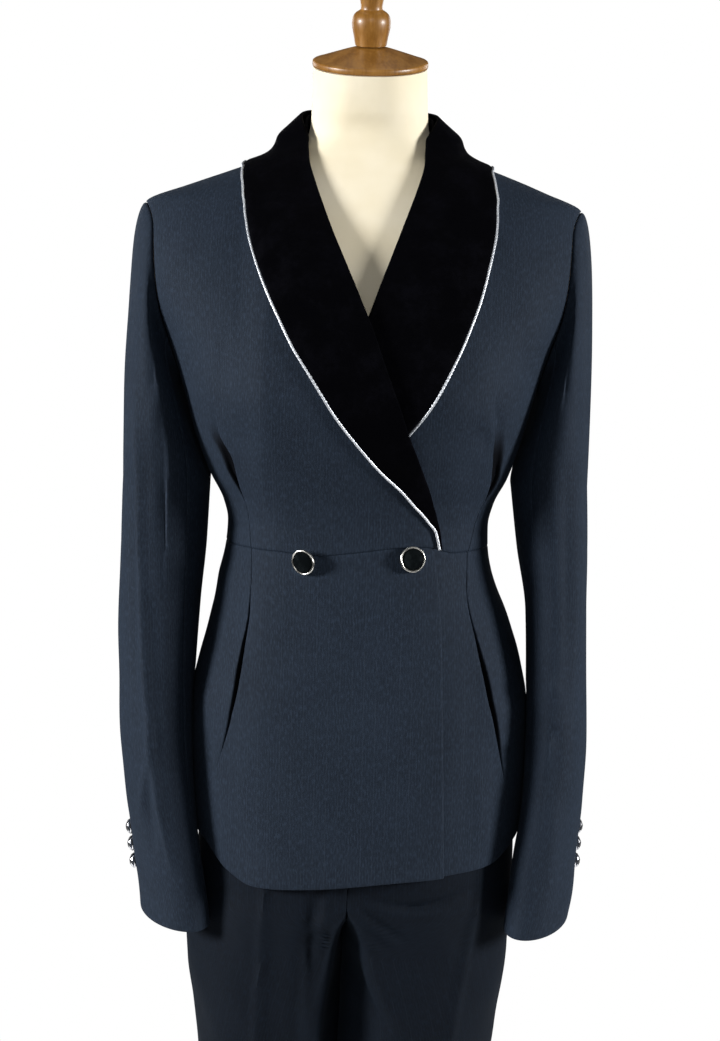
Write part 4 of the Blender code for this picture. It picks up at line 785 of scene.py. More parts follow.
def sleeve(side, finish):
    coarse = armhole_loop(side, 10)[1]
    back_seam, front_seam = coarse[4], coarse[12]
    spans = (("top", front_seam, back_seam + 2 * math.pi, 78), ("under", back_seam, front_seam, 40))
    for word, low, high, count in spans:
        length = (high - low) * SLEEVE_RADIUS
        turn = low + across(np.array([length]), count)[0] / SLEEVE_RADIUS
        near_cuff = CUFF + np.array([0.0022, 0.0010, 0.0003, 0])
        levels = np.concatenate([np.linspace(CAP_FOOT, CUFF + 0.004, 112), near_cuff])
        arm = np.array([sleeve_ring(side, h, turn) for h in levels])
        grid = np.concatenate([sleeve_cap(side, turn), arm])[::-1]
        skin = clear_of_body(side, grid, SLEEVE_CLEAR + SOLID_CLOTH)
        normals = grid_normals(skin)
        rounds, rows = (turn - low) * SLEEVE_RADIUS, skin[..., 2]
        from_top = hanging(skin[::-1])[::-1]
        free = (0.15 + 0.85 * smooth(-0.2, 0.25, normals[..., 0])) * smooth(0.0, 0.05, from_top)
        relief = folds(SLEEVE_FOLDS[side], skin, normals) + ripple(skin, 51 + side, 0.0004) * free
        relief *= np.where(normals[..., 0] > -0.25, 1, 0.2)  # little on the side next to the body
        relief *= smooth(0.0, 0.012, from_top) * smooth(CUFF, CUFF + 0.02, rows)
        relief -= rolled(np.minimum(rounds, length - rounds), 0.0007) + rolled(from_top, 0.0011, 0.0030)
        relief -= rolled(rows - CUFF, 0.0007, 0.0020)
        outer = skin + normals * relief[..., None]
        inner = outer - normals * CLOTH
        for points in (outer, inner):
            points[:, 0] += unit(points[:, 1] - points[:, 0]) * SEAM
            points[:, -1] += unit(points[:, -2] - points[:, -1]) * SEAM
        name = f"sleeve_{word}_{NAME[side]}"
        made = shell(name, outer, inner, finish, "suiting", side, flat_at(rounds, hanging(skin)))
        cut(outer)


# ---------------------------------------------------------------- collar and piping

Line = namedtuple("Line", "step roll_angle roll_height roll_lift edge_angle edge_height edge_lift free")
COLLAR_SPRING = (0.35, 1.00)  # round the neck it stands off up to the first, lies down from the second
ROLL_RADIUS = 0.0019
PIPING_RADIUS, PIPING_STEP, PIPING_PITCH = 0.0012, 0.00055, 0.0052


def collar_lines(side):
    lines = []
    for rib in LAPEL_RIGHT if side == RIGHT else LAPEL_LEFT:
        roll, edge = angle_at(side, rib.roll_out, rib.roll_height), angle_at(side, rib.edge_out, rib.edge_height)
        lift = [float(front_lift(side, a, h)) for a, h in ((roll, rib.roll_height), (edge, rib.edge_height))]
        lines.append(Line(rib.step, float(roll), rib.roll_height, lift[0], float(edge), rib.edge_height, lift[1], 0))
    for rib in COLLAR:
        stands, roll, edge = rib.roll_lift - VELVET - LAID, math.radians(rib.roll_angle), math.radians(rib.edge_angle)
        lines.append(Line(rib.step, roll, rib.roll_height, stands, edge, rib.edge_height, 0.0010, 1))
    return lines


def collar(side, finish):
    lines = collar_lines(side)
    step = np.linspace(0, COLLAR[-1].step, 190)[:, None]
    share = np.concatenate([[0, 0.008, 0.018, 0.032, 0.05], np.linspace(0.08, 0.95, 24), [0.968, 0.982, 0.993, 1.0]])
    free = smooth(lines[-6].step, lines[-4].step, step)
    angle, height, round_neck = (
        along(lines, f"roll_{name}", step) * (1 - share) + along(lines, f"edge_{name}", step) * share
        for name in ("angle", "height", "lift")
    )
    angle[-1] = aside(side, angle[-1], NECKLINE[-1].height, -SEAM)
    lift = front_lift(side, angle, height) * (1 - free) + free * round_neck + VELVET + LAID
    lying = torso(side, angle, height, lift)
    straight = lying[:, :1] * (1 - share[:, None]) + lying[:, -1:] * share[:, None]
    stands = (free * (1 - smooth(*COLLAR_SPRING, share)))[..., None]
    skin = lying * (1 - stands) + straight * stands
    normals = grid_normals(skin)
    normals[-1, :, 0] = 0
    normals = unit(normals)
    width = np.linalg.norm(skin[:, -1:] - skin[:, :1], axis=-1)
    from_roll, from_edge = width * share, width * (1 - share)
    inside = np.clip(1 - from_roll / ROLL_RADIUS, 0, 1)
    drop = ROLL_RADIUS * (1 - np.sqrt(np.clip(1 - inside**2, 0, 1))) * np.minimum(1, width / 0.02)
    relief = -drop - rolled(from_edge, 0.0010, 0.0022)
    relief += ripple(skin, 61 + side, 0.0003) * smooth(0, 0.012, from_edge) * smooth(0, 0.010, from_roll)
    relief += 0.0008 * np.sin(math.pi * np.clip(share, 0, 1)) * (1 - free)
    outer = skin + normals * relief[..., None]
    inner = skin - normals * VELVET + normals * np.minimum(relief, 0)[..., None] * 0.2
    uv = flat_at(share * width, hanging(skin[:, 12:13]))
    made = shell(f"collar_{NAME[side]}", outer, inner, finish, "velvet", side, uv)
    cut(outer)
    return skin


def collar_stand(finish):
    table = neck_rib_rows((0, 46, 364, 3, 0, 0)) + COLLAR
    degrees = np.linspace(62, 180, 60)
    foot = along(NECKLINE, "height", degrees) + 0.0006
    top = along(table, "roll_height", degrees, key=1) - 0.0035
    out = along(table, "roll_lift", degrees, key=1) - VELVET - 0.0006 - 0.0024
    up = np.linspace(0, 1, 14)[:, None]
    height, lift, angle = foot + (top - foot) * up, out * up**2, np.radians(degrees)[None, :] + 0 * up
    left, right = torso(LEFT, angle, height, lift), torso(LEFT, -angle, height, lift)
    points = np.concatenate([left, right[:, -2::-1]], axis=1)
    inner = points - grid_normals(points) * CLOTH
    uv = flat_at(run_length(points[0]), hanging(points))
    made = shell("collar_stand", points, inner, finish, "velvet", LEFT, uv)
    cut(points)


def piping(side, collar_points, finish):
    """A twisted cord along the collar's outer edge, from the lapel's tip to the centre back."""
    edge = collar_points[:, -1]
    away, run = edge - collar_points[:, -3], unit(np.gradient(edge, axis=0))
    away = unit(away - run * (away * run).sum(axis=-1, keepdims=True))
    angle = np.arctan2(edge[:, 0], along(JACKET, "side", edge[:, 2]) - edge[:, 1])
    normal = torso(side, angle, edge[:, 2], 1.0) - torso(side, angle, edge[:, 2])
    centre = edge - normal * VELVET / 2 + away * (PIPING_RADIUS + 0.0001)
    centre[-1, 0] = SEAM
    length = run_length(centre)
    at = np.linspace(0, length[-1], int(length[-1] / PIPING_STEP))
    centre, away = (np.stack([np.interp(at, length, axis) for axis in line.T], -1) for line in (centre, away))
    tangent = unit(np.gradient(centre, axis=0))
    up = unit(np.cross(tangent, unit(away)))
    level = unit(np.cross(up, tangent))
    turn = np.linspace(0, 2 * math.pi, 15)[:-1]
    twist = 2 * math.pi * at[:, None] / PIPING_PITCH
    lobes = np.abs(np.cos(1.5 * turn - twist / 2 * 1.5))
    radius = PIPING_RADIUS * (0.80 + 0.24 * lobes**0.8)
    round_centre = np.cos(turn)[:, None] * level[:, None] + np.sin(turn)[:, None] * up[:, None]
    rings = centre[:, None] + radius[..., None] * round_centre
    rings[-1, :, 0] = np.maximum(rings[-1, :, 0], SEAM)
    loft(f"piping_{NAME[side]}", rings, finish, side, flat_at(turn * PIPING_RADIUS, at[:, None]))


# ---------------------------------------------------------------- buttons

front_button_rows = table_of("*word out height *tip seat")
FRONT_BUTTONS = front_button_rows(("right", -41.8, -4.9, 0.4, 1.9), ("left", 48, -10, 0, 0.6))
BUTTON_FALL = (-0.75, 0, -0.65)  # the way a tipped front button falls
CUFF_BUTTON_HEIGHTS = {RIGHT: (-0.2810, -0.2970, -0.3135), LEFT: (-0.2715, -0.2880, -0.3045)}
CUFF_BUTTON_TURN = math.radians(50)
profile = table_of("radius height")
RIM = profile(
    (0, 0), (3, 0), (3.2, 0.4), (3.2, 2.9), (11, 3.4), (11.4, 3.7), (11.6, 4.3), (11.7, 5.2), (11.6, 5.8),
    (11.3, 6.2), (10.8, 6.4), (10.3, 6.2), (9.9, 5.7), (9.7, 5), (9.6, 4.5), (0, 4.5),
)
DOME = profile(
    (0, 4.6), (9.2, 4.7), (9.5, 5.2), (9.2, 5.7), (8, 6.3), (6, 6.8), (3.5, 7.1), (1.5, 7.2), (0, 7.2),
)

CRYSTAL_TOP = 0.0080
facet_rows = table_of("radius height *count *turn")
CRYSTAL = facet_rows(
    (3.4, 7.6, 6, 0.5), (6.4, 5.6, 12, 0), (7.5, 3.6, 12, 0.5), (6.6, 1.8, 12, 0), (2.2, 1.2, 12, 0),
    (2.2, 0, 12, 0),
)


def front_buttons(rim, velvet_pile):
    """Metal rims with velvet domes, on the right front, which the left button's seat is on too."""
    for button in FRONT_BUTTONS:
        own = angle_at(RIGHT, -button.out, button.height)
        lift = float(front_lift(RIGHT, own, button.height))
        seat = torso(LEFT, -own, button.height, lift + button.seat)
        axis = torso(LEFT, -own, button.height, 1.0) - torso(LEFT, -own, button.height)
        axis = unit(axis + button.tip * np.array(BUTTON_FALL))
        turned(f"front_button_{button.word}", RIM, 72, rim, seat, axis)
        turned(f"front_button_velvet_{button.word}", DOME, 72, velvet_pile, seat, axis)


def crystal_mesh():
    """A cut dome: a hexagon at the top, then rings of twelve corners down to the shank."""
    points, rings = [(0, 0, CRYSTAL_TOP)], []
    for facet in CRYSTAL:
        rings.append(list(range(len(points), len(points) + facet.count)))
        turns = [(j + facet.turn) * 2 * math.pi / facet.count for j in range(facet.count)]
        points += [(facet.radius * math.cos(turn), facet.radius * math.sin(turn), facet.height) for turn in turns]
    points.append((0, 0, 0))
    top, ring, last = rings[0], rings[1], rings[-1]
    faces = []
    for j in range(6):
        a, b, c, after = ring[2 * j], ring[2 * j + 1], ring[(2 * j + 2) % 12], top[(j + 1) % 6]
        faces += [(0, top[j], after), (top[j], a, b), (top[j], b, c), (top[j], c, after)]
    for j in range(12):
        k = (j + 1) % 12
        for upper, lower in zip(rings[1:], rings[2:]):
            faces += [(upper[j], lower[j], upper[k]), (lower[j], lower[k], upper[k])]
        faces.append((last[k], last[j], len(points) - 1))
    return points, faces


def cuff_buttons(side, finish):
    """Domed buttons with cut facets, each standing on its shank."""
    points, faces = crystal_mesh()
    for number, height in enumerate(CUFF_BUTTON_HEIGHTS[side], 1):
        at, ahead = (sleeve_ring(side, height, CUFF_BUTTON_TURN + t) for t in (0.0, 0.02))
        above = sleeve_ring(side, height + 0.002, CUFF_BUTTON_TURN)
        axis = unit(np.cross(ahead - at, above - at))
        button = placed(points, axis, at + axis * 0.0001)
        make(f"cuff_button_{NAME[side]}_{number}", button, [faces], finish, side, sharp=3)


# ---------------------------------------------------------------- trousers

TROUSER_FRONT_FOLDS = {
    RIGHT: fold_rows(
        (75.5, -300, 78, -400, 83, -620, 3.5, 2.6), (27, -295, 40, -365, 31, -480, 6.5, -5),
        (19, -290, 16.5, -345, 22.5, -400, 4, 2.4), (5, -322, 30, -345, 60, -352, 5, 1.6),
        (48, -330, 50, -400, 52, -500, 9, 1.8),
    ),
    LEFT: fold_rows(
        (123, -305, 108, -390, 90, -520, 3.5, 2.6), (10, -308, 70, -332, 114.2, -305, 3.8, -3.4),
        (10, -316, 70, -341, 114.2, -314, 4.2, 2.2), (4, -312, 30, -337, 60, -352, 3.8, -2.8),
        (6, -325, 28, -350, 54, -364, 4.5, 2), (4, -370, 20, -428, 48, -455, 6, -4.2),
        (12, -360, 30, -408, 58, -438, 6.5, 2.4),
    ),
}
TROUSER_BACK_FOLDS = fold_rows(
    (15, -335, 50, -352, 90, -342, 8, -2.4, "back"), (12, -360, 50, -385, 95, -380, 8, 1.8, "back"),
    (20, -395, 60, -420, 100, -415, 8, -1.8, "back"),
)
LOW_LEG_FOLDS = fold_rows(
    (30, -640, 70, -660, 110, -640, 10, -2), (35, -690, 75, -672, 115, -690, 10, 1.6),
    (30, -660, 70, -640, 110, -665, 10, -2.8, "back"), (30, -700, 70, -686, 115, -705, 10, 2.2, "back"),
    (40, -1040, 80, -1060, 120, -1045, 11, -2.2), (45, -1090, 85, -1076, 125, -1095, 11, 1.8),
    (40, -1060, 80, -1045, 120, -1066, 11, -2.4, "back"),
)
CREASES = {
    RIGHT: out_rows((-1150, 78), (-700, 79), (-450, 82.5), (-390, 79), (-310, 75.2), (-200, 74)),
    LEFT: out_rows((-1150, 78), (-700, 85), (-450, 96), (-390, 105), (-310, 122), (-200, 123)),
}


def leg_inner(height):
    return SEAM + (INNER_LEG - SEAM) * smooth(FORK_LOW, FORK_LOW - 0.05, height)


def seam_start(height):
    return math.pi / 2 * smooth(FORK_LOW, FORK_HIGH, height)


def leg_point(side, turn, height, half):
    crease, outer, power = (along(LEG, name, height) for name in ("crease", "outer", "power"))
    outer = outer + side * along(SWAY, "shift", height)
    depth = -along(LEG, "front", height) if half < 0 else along(LEG, "back", height)
    start = np.minimum(seam_start(height), math.pi / 2 - 0.02)
    reach = (crease - leg_inner(height)) / np.cos(start) ** (2 / power)
    wide = np.where(np.cos(turn) > 0, reach, outer - crease)
    x = crease - wide * np.sign(np.cos(turn)) * np.abs(np.cos(turn)) ** (2 / power)
    y = half * depth * np.sign(np.sin(turn)) * np.abs(np.sin(turn)) ** (2 / power)
    return np.stack([x, y, height + 0 * x], -1)


def wound(points, side):
    """The two inner legs bend past each other in front and behind."""
    near = 1 - smooth(0, BEND_WIDE, points[..., 0])
    ahead = np.sin(math.pi * np.clip(-points[..., 1] / BEND_DEEP, -1, 1))
    shift = -side * along(INNER_BEND, "shift", points[..., 2]) * near * ahead
    return points + np.stack([shift, 0 * shift, 0 * shift], -1)


def leg_panel(side, half, finish):
    """A trouser front (half -1) or back (half 1), from the inner seam over the crease to the outer one."""
    height = np.concatenate([
        LEG_FOOT + np.array([0, 0.0004, 0.0010, 0.0020]), np.linspace(LEG_FOOT + 0.005, -0.45, 92),
        np.linspace(-0.444, -0.30, 44), np.linspace(-0.293, LEG_TOP - 0.003, 30),
        LEG_TOP - np.array([0.0015, 0.0006, 0]),
    ])[:, None]
    start = seam_start(height)
    share = np.concatenate([[0, 0.004, 0.010, 0.020], np.linspace(0.036, 0.964, 64), [0.980, 0.990, 0.996, 1]])
    fine = np.linspace(0, 1, 300)
    fine_turn = np.where(start < math.pi / 2 - 0.01, start + (math.pi - start) * fine, math.pi / 2 * (1 + fine))
    length = hanging(leg_point(side, fine_turn, height, half).swapaxes(0, 1)).T
    turn = np.array([np.interp(share * row[-1], row, angles) for row, angles in zip(length, fine_turn)])
    skin = leg_point(side, turn, height, half)
    ahead = leg_point(side, turn + 0.004, height, half) - leg_point(side, turn - 0.004, height, half)
    above = leg_point(side, turn, height + 0.0008, half) - leg_point(side, turn, height - 0.0008, half)
    normals = unit(np.cross(ahead, above)) * -half
    rounds, rows = share * length[:, -1:], skin[..., 2]
    edge = np.minimum(rounds, length[:, -1:] - rounds)
    table = (TROUSER_FRONT_FOLDS[side] if half < 0 else TROUSER_BACK_FOLDS) + LOW_LEG_FOLDS
    relief = folds(table, skin, normals) + ripple(skin, 71 + side + 3 * half, 0.0006) * smooth(-0.30, -0.42, rows)
    pressed = np.exp(-np.abs(skin[..., 0] - along(CREASES[side], "out", rows)) / CREASE_WIDE)
    pressed *= np.clip(normals[..., 1] * half, 0, 1) * smooth(-0.10, -0.30, rows) * smooth(-1.16, -1.12, rows)
    relief = (relief + CREASE_HIGH * pressed) * smooth(0, STILL_AT_EDGE, edge)
    relief -= rolled(edge, 0.0008) + rolled(rows - LEG_FOOT, 0.0006, 0.002) + rolled(LEG_TOP - rows, 0.0004, 0.002)
    inner_side = smooth(0.012, 0.0, skin[..., 0] - leg_inner(rows)) * (rows < FORK_HIGH)
    relief = np.minimum(relief, 0.0002 * inner_side + relief * (1 - inner_side))
    faces = []
    for out in (relief, np.minimum(relief, INNER_RELIEF) - CLOTH):
        points = skin + normals * out[..., None]
        points[..., 0] = np.maximum(points[..., 0], SEAM)
        points[..., 1] = half * np.maximum(points[..., 1] * half, SEAM)
        faces.append(wound(points, side)[:, ::-half])
    uv = flat_at(rounds, hanging(skin))[:, ::-half]
    name = f"trouser_{'front' if half < 0 else 'back'}_{NAME[side]}"
    made = shell(name, *faces, finish, "suiting", side, uv)
    cut(faces[0])


def waistband(finish):
    shut = SEAM / 0.09
    angle = np.linspace(shut, 2 * math.pi - shut, 140)
    height = np.linspace(BAND_FOOT, BAND_TOP, 12)[:, None]
    angle = (angle + math.pi) % (2 * math.pi) - math.pi + 0 * height
    faces = []
    for inset in (BAND_IN, BAND_IN + BAND):
        points = torso(LEFT, angle, height, -inset)
        points[..., 2] = height
        faces.append(points)
    uv = flat_at(run_length(faces[0][0]), hanging(faces[0]))
    made = shell("trouser_waistband", *faces, finish, "suiting", LEFT, uv)
    cut(faces[0])


# ---------------------------------------------------------------- dress form


def form_body(finish):
    foot = FORM_FOOT + np.array([0, 0.0005, 0.0015, 0.003])
    spans = np.linspace(-0.294, 0.29, 90), np.linspace(0.294, 0.36, 26), np.linspace(0.364, NECK_TOP, 28)
    rows = np.concatenate([foot, *spans])
    around = np.linspace(0, 2 * math.pi, 145)[:-1]
    angle = (around + math.pi) % (2 * math.pi) - math.pi
    inset = along(FORM_INSET, "inset", rows)[:, None] + rolled(rows - FORM_FOOT, 0.002, 0.003)[:, None]
    rings = torso(LEFT, angle[None, :] + 0 * inset, rows[:, None] + 0 * inset, -inset)
    lean = smooth(NECK_BEND - 0.02, NECK_TOP, rings[..., 2])
    rings[..., 2] += math.tan(NECK_TILT) * lean * (rings[..., 1] - along(JACKET, "side", NECK_TOP))
    rings[0, :, 2] = FORM_FOOT
    loft("form_torso", rings, finish, LEFT, flat_at(around * FORM_RADIUS, rings[..., 2]))


CAP = profile(
    (0, 0), (51.2, 0), (52, 0.3), (52.7, 1), (53, 2), (53, 4.2), (52.7, 5.2), (51.9, 5.9), (50, 6.4), (48, 7),
    (44, 8.3), (35, 11.2), (24, 14.7), (15, 17.3), (14, 17.6), (12, 18), (0, 19),
)
FINIAL = profile(
    (0, 0), (14.2, 0), (14.8, 2.5), (15.5, 7), (16.4, 11), (17.3, 15), (17.6, 19.5), (17.4, 22.2), (16.8, 24.5),
    (15.6, 26.8), (14, 28.5), (12, 29.8), (10.2, 30.8), (9.8, 32), (9.9, 35), (10.8, 40), (11.8, 46),
    (12.2, 54), (12.4, 62), (12.7, 66.5), (12.8, 69), (12.8, 73), (12.2, 74.8), (11, 76.2), (10.5, 77),
    (10.9, 78.5), (12, 80), (13, 82), (13.8, 86), (14, 90), (13.5, 93.5), (12.5, 96), (11, 98), (8.5, 100),
    (6, 101), (0, 102),
)


def neck_cap_and_finial(finish):
    axis = Vector((0, -math.sin(NECK_TILT), math.cos(NECK_TILT)))
    seat = Vector((along(SWAY, "shift", NECK_TOP), along(JACKET, "side", NECK_TOP), NECK_TOP)) + axis * 0.0003
    turned("form_neck_cap", CAP, 96, finish, seat, axis)
    turned("form_finial", FINIAL, 96, finish, seat + axis * 0.0193, axis)


# ---------------------------------------------------------------- materials


class Nodes:
    """A short way to write a node tree."""

    def __init__(self, name):
        self.material = bpy.data.materials.new(name)
        self.material.use_nodes = True
        self.tree = self.material.node_tree
        self.shader = self.tree.nodes["Principled BSDF"]
        self.place = self.add("ShaderNodeTexCoord").outputs["Object"]

    def add(self, kind, links=(), **settings):
        node = self.tree.nodes.new(kind)
        for key, value in settings.items():
            setattr(node, key, value)
        for socket, value in dict(links).items():
            self.put(node.inputs[socket], value)
        return node

    def put(self, socket, value):
        if hasattr(value, "is_output"):
            self.tree.links.new(value, socket)
        elif hasattr(value, "outputs"):
            self.tree.links.new(value.outputs[0], socket)
        else:
            socket.default_value = value

    def shade(self, **values):
        for key, value in values.items():
            self.put(self.shader.inputs[key.replace("_", " ")], value)

    def cloth(self):
        """The flat cloth coordinates, and each of them alone."""
        where = self.add("ShaderNodeUVMap", uv_map="cloth").outputs[0]
        split = self.add("ShaderNodeSeparateXYZ", {0: where})
        return where, split.outputs["X"], split.outputs["Y"]

    def stretched(self, where, scale, turn=(0, 0, 0)):
        return self.add("ShaderNodeMapping", {"Vector": where, "Scale": scale, "Rotation": turn})

    def times(self, one, two):
        return self.add("ShaderNodeMath", {0: one, 1: two}, operation="MULTIPLY")

    def plus(self, one, two):
        return self.add("ShaderNodeMath", {0: one, 1: two}, operation="ADD")

    def mix(self, share, one, two):
        """Two colours, or what makes them, mixed by share."""
        node = self.add("ShaderNodeMix", data_type="RGBA")
        for socket, value in (("Factor", share), ("A", one), ("B", two)):
            self.put(node.inputs[socket], (*value, 1) if isinstance(value, tuple) else value)
        return node.outputs["Result"]

    def ramp(self, value, low, high, floor=0.0, ceiling=1.0):
        links = {"Value": value, "From Min": low, "From Max": high, "To Min": floor, "To Max": ceiling}
        return self.add("ShaderNodeMapRange", links, interpolation_type="SMOOTHSTEP")

    def noise(self, scale, detail=2.0, roughness=0.5, where=None):
        where = self.place if where is None else where
        links = {"Vector": where, "Scale": scale, "Detail": detail, "Roughness": roughness}
        return self.add("ShaderNodeTexNoise", links).outputs["Fac"]

    def bump(self, height, strength, distance, under=None):
        node = self.add("ShaderNodeBump", {"Height": height, "Strength": strength, "Distance": distance})
        if under:
            self.put(node.inputs["Normal"], under)
        return node

    def waves(self, value, pitch):
        """A triangle wave of 0 to 1 over each pitch."""
        bounce = self.add("ShaderNodeMath", {0: value, 1: pitch / 2}, operation="PINGPONG")
        return self.times(bounce, 2 / pitch)


STRIPE_PITCH, DOT_PITCH, TWILL_PITCH = 0.0105, 0.0011, 0.00055
# Painted shade: the near-black colour the suiting takes inside its open tucks.
PAINTED_TUCK_SHADE = (0.0002, 0.0005, 0.0016)


def tint(colour, share):
    return tuple(part * share for part in colour)


def suiting(name, base, line, dot, rib, rib_pitch):
    """Fine wool suiting: a smooth twill with a faint pin-dot stripe and finer lines between."""
    n = Nodes(name)
    cloth, u, v = n.cloth()
    stripe = n.ramp(n.waves(u, STRIPE_PITCH), 0.0, 0.065, 1.0, 0.0)
    dots = n.times(stripe, n.ramp(n.waves(v, DOT_PITCH), 0.35, 0.75, 0.25, 1.0))
    lines = n.ramp(n.waves(u, rib_pitch), 0.0, 0.45, 1.0, 0.0)
    blotch, fibre = n.noise(28.0, 3.0), n.noise(1900.0)
    yarn = n.noise(780.0, 2.0, 0.7, n.stretched(cloth, (1.0, 0.22, 1.0)))
    ground = n.mix(n.ramp(blotch, 0.3, 0.7), tint(base, 0.90), tint(base, 1.10))
    ground = n.mix(n.times(lines, rib), ground, line)
    ground = n.mix(n.times(dots, n.ramp(n.noise(55.0), 0.35, 0.65, 0.05, 0.26)), ground, dot)
    ground = n.mix(n.times(fibre, 0.35), ground, tint(base, 0.6))
    ground = n.mix(n.ramp(yarn, 0.42, 0.74, 0.0, 0.85), ground, tint(base, 1.9))
    # Painted shade: the cloth's colour goes near black inside open tucks and along their stitched lines.
    inside = n.add("ShaderNodeAttribute", attribute_name="painted_fold_shade").outputs["Fac"]
    ground = n.mix(inside, ground, PAINTED_TUCK_SHADE)
    twill = n.waves(n.plus(u, n.times(v, 0.7)), TWILL_PITCH)
    weave = n.plus(n.plus(n.times(twill, 0.6), n.times(fibre, 0.5)), n.times(lines, 0.35))
    soft = n.bump(n.noise(75.0), 0.25, 0.0006, n.bump(weave, 0.30, 0.00012))
    rough = n.add("ShaderNodeMath", {0: n.ramp(fibre, 0.3, 0.7, 0.72, 0.82), 1: inside}, operation="MAXIMUM")
    n.shade(Base_Color=ground, Roughness=rough, Normal=soft)
    n.shade(Sheen_Weight=0.012, Sheen_Roughness=0.40, Sheen_Tint=(0.50, 0.72, 1.0, 1), Specular_IOR_Level=0.10)
    return n.material


def velvet(name, low, high):
    """Cotton velvet: near black, with brushed patches where the pile lies over and catches light."""
    n = Nodes(name)
    wide, small, pile = n.noise(34.0, 3.0, 0.55), n.noise(210.0, 3.0, 0.6), n.noise(2600.0)
    brushed = n.plus(n.times(wide, 0.7), n.times(small, 0.3))
    n.shade(Base_Color=n.mix(n.ramp(brushed, 0.45, 0.72), low, high), Roughness=n.ramp(brushed, 0.4, 0.7, 0.95, 0.75))
    n.shade(Normal=n.bump(wide, 0.35, 0.0012, n.bump(pile, 0.5, 0.0003)))
    n.shade(Sheen_Weight=0.020, Sheen_Roughness=0.18, Sheen_Tint=(0.66, 0.74, 1.0, 1), Specular_IOR_Level=0.03)
    return n.material


def silver_cord(name):
    """Thread with a metal gleam."""
    n = Nodes(name)
    thread = n.noise(1500.0)
    n.shade(Base_Color=n.mix(n.ramp(thread, 0.35, 0.65), (0.42, 0.45, 0.50), (0.86, 0.89, 0.93)))
    n.shade(Roughness=n.ramp(thread, 0.3, 0.7, 0.32, 0.50), Metallic=0.65, Normal=n.bump(thread, 0.5, 0.0002))
    return n.material


def metal(name, colour, low, high, scale):
    """Plated metal, its roughness from low to high in soft marks."""
    n = Nodes(name)
    marks = n.noise(scale, 3.0)
    n.shade(Base_Color=n.mix(marks, tint(colour, 0.9), colour))
    n.shade(Metallic=1.0, Roughness=n.ramp(marks, 0.3, 0.7, low, high))
    return n.material


def enamel(name):
    """The stand's dark paint, with a slight orange peel."""
    n = Nodes(name)
    peel, wear = n.noise(340.0), n.noise(22.0, 4.0)
    n.shade(Base_Color=n.mix(n.ramp(wear, 0.35, 0.75), (0.020, 0.020, 0.022), (0.036, 0.036, 0.039)))
    n.shade(Roughness=n.ramp(wear, 0.3, 0.7, 0.34, 0.46), Normal=n.bump(peel, 0.15, 0.0003))
    n.shade(Coat_Weight=0.25, Coat_Roughness=0.25)
    return n.material


def jersey(name):
    """The form's cream cover, a fine knit."""
    n = Nodes(name)
    _, u, v = n.cloth()
    knit = n.times(n.waves(u, 0.0009), n.waves(v, 0.0007))
    blotch = n.noise(18.0, 3.0)
    tone = n.mix(n.ramp(blotch, 0.3, 0.7), (0.83, 0.74, 0.54), (0.88, 0.80, 0.62))
    n.shade(Base_Color=n.mix(n.times(knit, 0.25), tone, (0.70, 0.61, 0.44)))
    n.shade(Roughness=n.ramp(blotch, 0.3, 0.7, 0.78, 0.88), Normal=n.bump(knit, 0.25, 0.00015))
    n.shade(Sheen_Weight=0.10, Sheen_Roughness=0.5, Specular_IOR_Level=0.3)
    return n.material


def wood(name):
    """Turned hardwood, stained honey brown, with a satin varnish."""
    n = Nodes(name)
    along_grain = n.stretched(n.place, (1.0, 0.6, 0.07), (0.10, 0.06, 0.2))
    warp, rings = n.noise(90.0, 3.0, where=along_grain), n.noise(420.0, 2.0, 0.6, along_grain)
    pores = n.noise(1500.0, where=n.stretched(n.place, (1.0, 1.0, 0.06)))
    grain = n.plus(n.times(rings, 0.45), n.times(warp, 0.55))
    tone = n.mix(n.ramp(grain, 0.32, 0.68), (0.195, 0.080, 0.009), (0.320, 0.148, 0.026))
    tone = n.mix(n.ramp(pores, 0.60, 0.74, 0.0, 0.35), tone, (0.105, 0.038, 0.005))
    n.shade(Base_Color=tone, Roughness=n.ramp(grain, 0.2, 0.8, 0.36, 0.46), Normal=n.bump(pores, 0.08, 0.0002))
    n.shade(Coat_Weight=0.20, Coat_Roughness=0.22)
    return n.material


def floor_paint(name):
    n = Nodes(name)
    n.shade(Base_Color=n.mix(n.noise(3.0), (0.86, 0.86, 0.86), (0.88, 0.88, 0.88)), Roughness=0.9)
    return n.material


# ---------------------------------------------------------------- scene


def lights():
    """Large soft studio lights: two at the sides, and weaker ones in front, above and behind."""
    Lamp = namedtuple("Lamp", "name place size power aim")
    lamps = [
        Lamp("key", (-3.05, -1.15, 1.9), 0.9, 166, 1.1),
        Lamp("fill", (3.1, -1.0, 1.8), 0.9, 136, 1.1),
        Lamp("front", (0.0, -3.2, 2.4), 1.6, 15, 1.1),
        Lamp("top", (0.0, 0.2, 3.6), 1.8, 6, 1.2),
        Lamp("rim_left", (-1.6, 2.4, 2.2), 1.2, 10, 1.2),
        Lamp("rim_right", (1.6, 2.4, 2.2), 1.2, 10, 1.2),
    ]
    for lamp in lamps:
        data = bpy.data.lights.new(lamp.name, "AREA")
        data.shape, data.size, data.energy = "DISK", lamp.size, lamp.power
        made = bpy.data.objects.new(lamp.name, data)
        made.location = lamp.place
        made.rotation_euler = (Vector((0, 0, lamp.aim)) - made.location).to_track_quat("-Z", "Y").to_euler()
        bpy.context.scene.collection.objects.link(made)


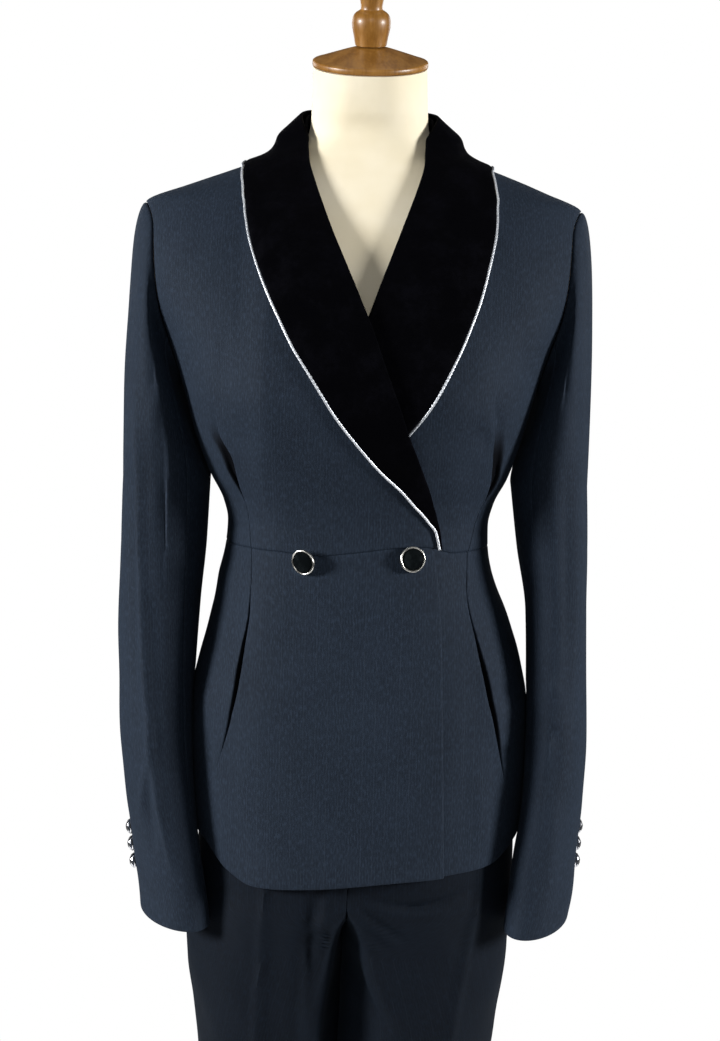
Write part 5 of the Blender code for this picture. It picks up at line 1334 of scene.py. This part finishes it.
def surroundings():
    """A white studio: the camera sees white, and only a faint glow of it lights the suit."""
    world = bpy.data.worlds.new("studio")
    bpy.context.scene.world = world
    world.use_nodes = True
    tree = world.node_tree
    seen, glow = tree.nodes["Background"], tree.nodes.new("ShaderNodeBackground")
    for node, colour, strength in ((seen, (1, 1, 1, 1), 1.0), (glow, (0.96, 0.98, 1.0, 1), 0.05)):
        node.inputs["Color"].default_value = colour
        node.inputs["Strength"].default_value = strength
    path = tree.nodes.new("ShaderNodeLightPath")
    blend = tree.nodes.new("ShaderNodeMixShader")
    tree.links.new(path.outputs["Is Camera Ray"], blend.inputs["Fac"])
    tree.links.new(glow.outputs[0], blend.inputs[1])
    tree.links.new(seen.outputs[0], blend.inputs[2])
    tree.links.new(blend.outputs[0], tree.nodes["World Output"].inputs["Surface"])
    bpy.ops.mesh.primitive_circle_add(vertices=128, radius=1.3, fill_type="NGON", location=(0, 0, -0.0005))
    floor = bpy.context.active_object
    floor.name = "studio_floor"
    floor.data.materials.append(floor_paint("floor_paint"))


FOCAL, DISTANCE = 1580 / 1041, 1.5  # in heights of the picture, and in metres
LOOK_DOWN, TILT = math.radians(8), math.radians(1.37)


def camera():
    """The photograph's view."""
    data = bpy.data.cameras.new("camera")
    data.sensor_width = 36
    data.lens = FOCAL * data.sensor_width
    made = bpy.data.objects.new("camera", data)
    aim = Vector((0.0035, 0, WAIST_HEIGHT + 0.0197))
    place = aim + DISTANCE * Vector((0, -math.cos(LOOK_DOWN), math.sin(LOOK_DOWN)))
    look = (aim - place).to_track_quat("-Z", "Y").to_matrix().to_4x4()
    made.matrix_world = Matrix.Translation(place) @ look @ Matrix.Rotation(TILT, 4, "Z")
    bpy.context.scene.collection.objects.link(made)
    bpy.context.scene.camera = made


def main():
    base, line, dot = (0.0112, 0.0172, 0.0280), (0.021, 0.030, 0.045), (0.10, 0.13, 0.17)
    jacket_cloth = suiting("suiting_jacket", base, line, dot, 0.30, 0.00263)
    # The trousers' suiting is made darker than the jacket's: partly painted shade of the jacket hanging over the
    # legs, partly a darker tone of its own.
    base, line, dot = (0.0022, 0.0044, 0.0085), (0.006, 0.010, 0.016), (0.05, 0.07, 0.10)
    trouser_cloth = suiting("suiting_trousers", base, line, dot, 0.40, 0.00268)
    pile = velvet("velvet_black", (0.0002, 0.0002, 0.0008), (0.0009, 0.0009, 0.0021))
    button_pile = velvet("velvet_button", (0.0020, 0.0030, 0.0036), (0.0100, 0.0135, 0.0150))
    cord = silver_cord("silver_lurex_cord")
    rim = metal("button_metal", (0.84, 0.82, 0.76), 0.20, 0.30, 90.0)
    crystal = metal("crystal_grey", (0.86, 0.87, 0.91), 0.12, 0.24, 60.0)
    cream, honey, dark = jersey("cream_jersey"), wood("honey_wood"), enamel("dark_enamel")
    for side in (RIGHT, LEFT):
        bodice(side, jacket_cloth)
        skirt(side, jacket_cloth)
        sleeve(side, jacket_cloth)
        piping(side, collar(side, pile), cord)
        cuff_buttons(side, crystal)
        leg_panel(side, -1, trouser_cloth)
        leg_panel(side, 1, trouser_cloth)
    collar_stand(pile)
    front_buttons(rim, button_pile)
    waistband(trouser_cloth)
    form_body(cream)
    neck_cap_and_finial(honey)
    for name in ("stand_socket", "stand_pole", "stand_hub", "stand_base"):
        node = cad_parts[name]
        node.data.materials.clear()
        node.data.materials.append(dark)
    lights()
    surroundings()
    camera()
    bpy.context.scene.view_settings.view_transform = "Standard"


main()
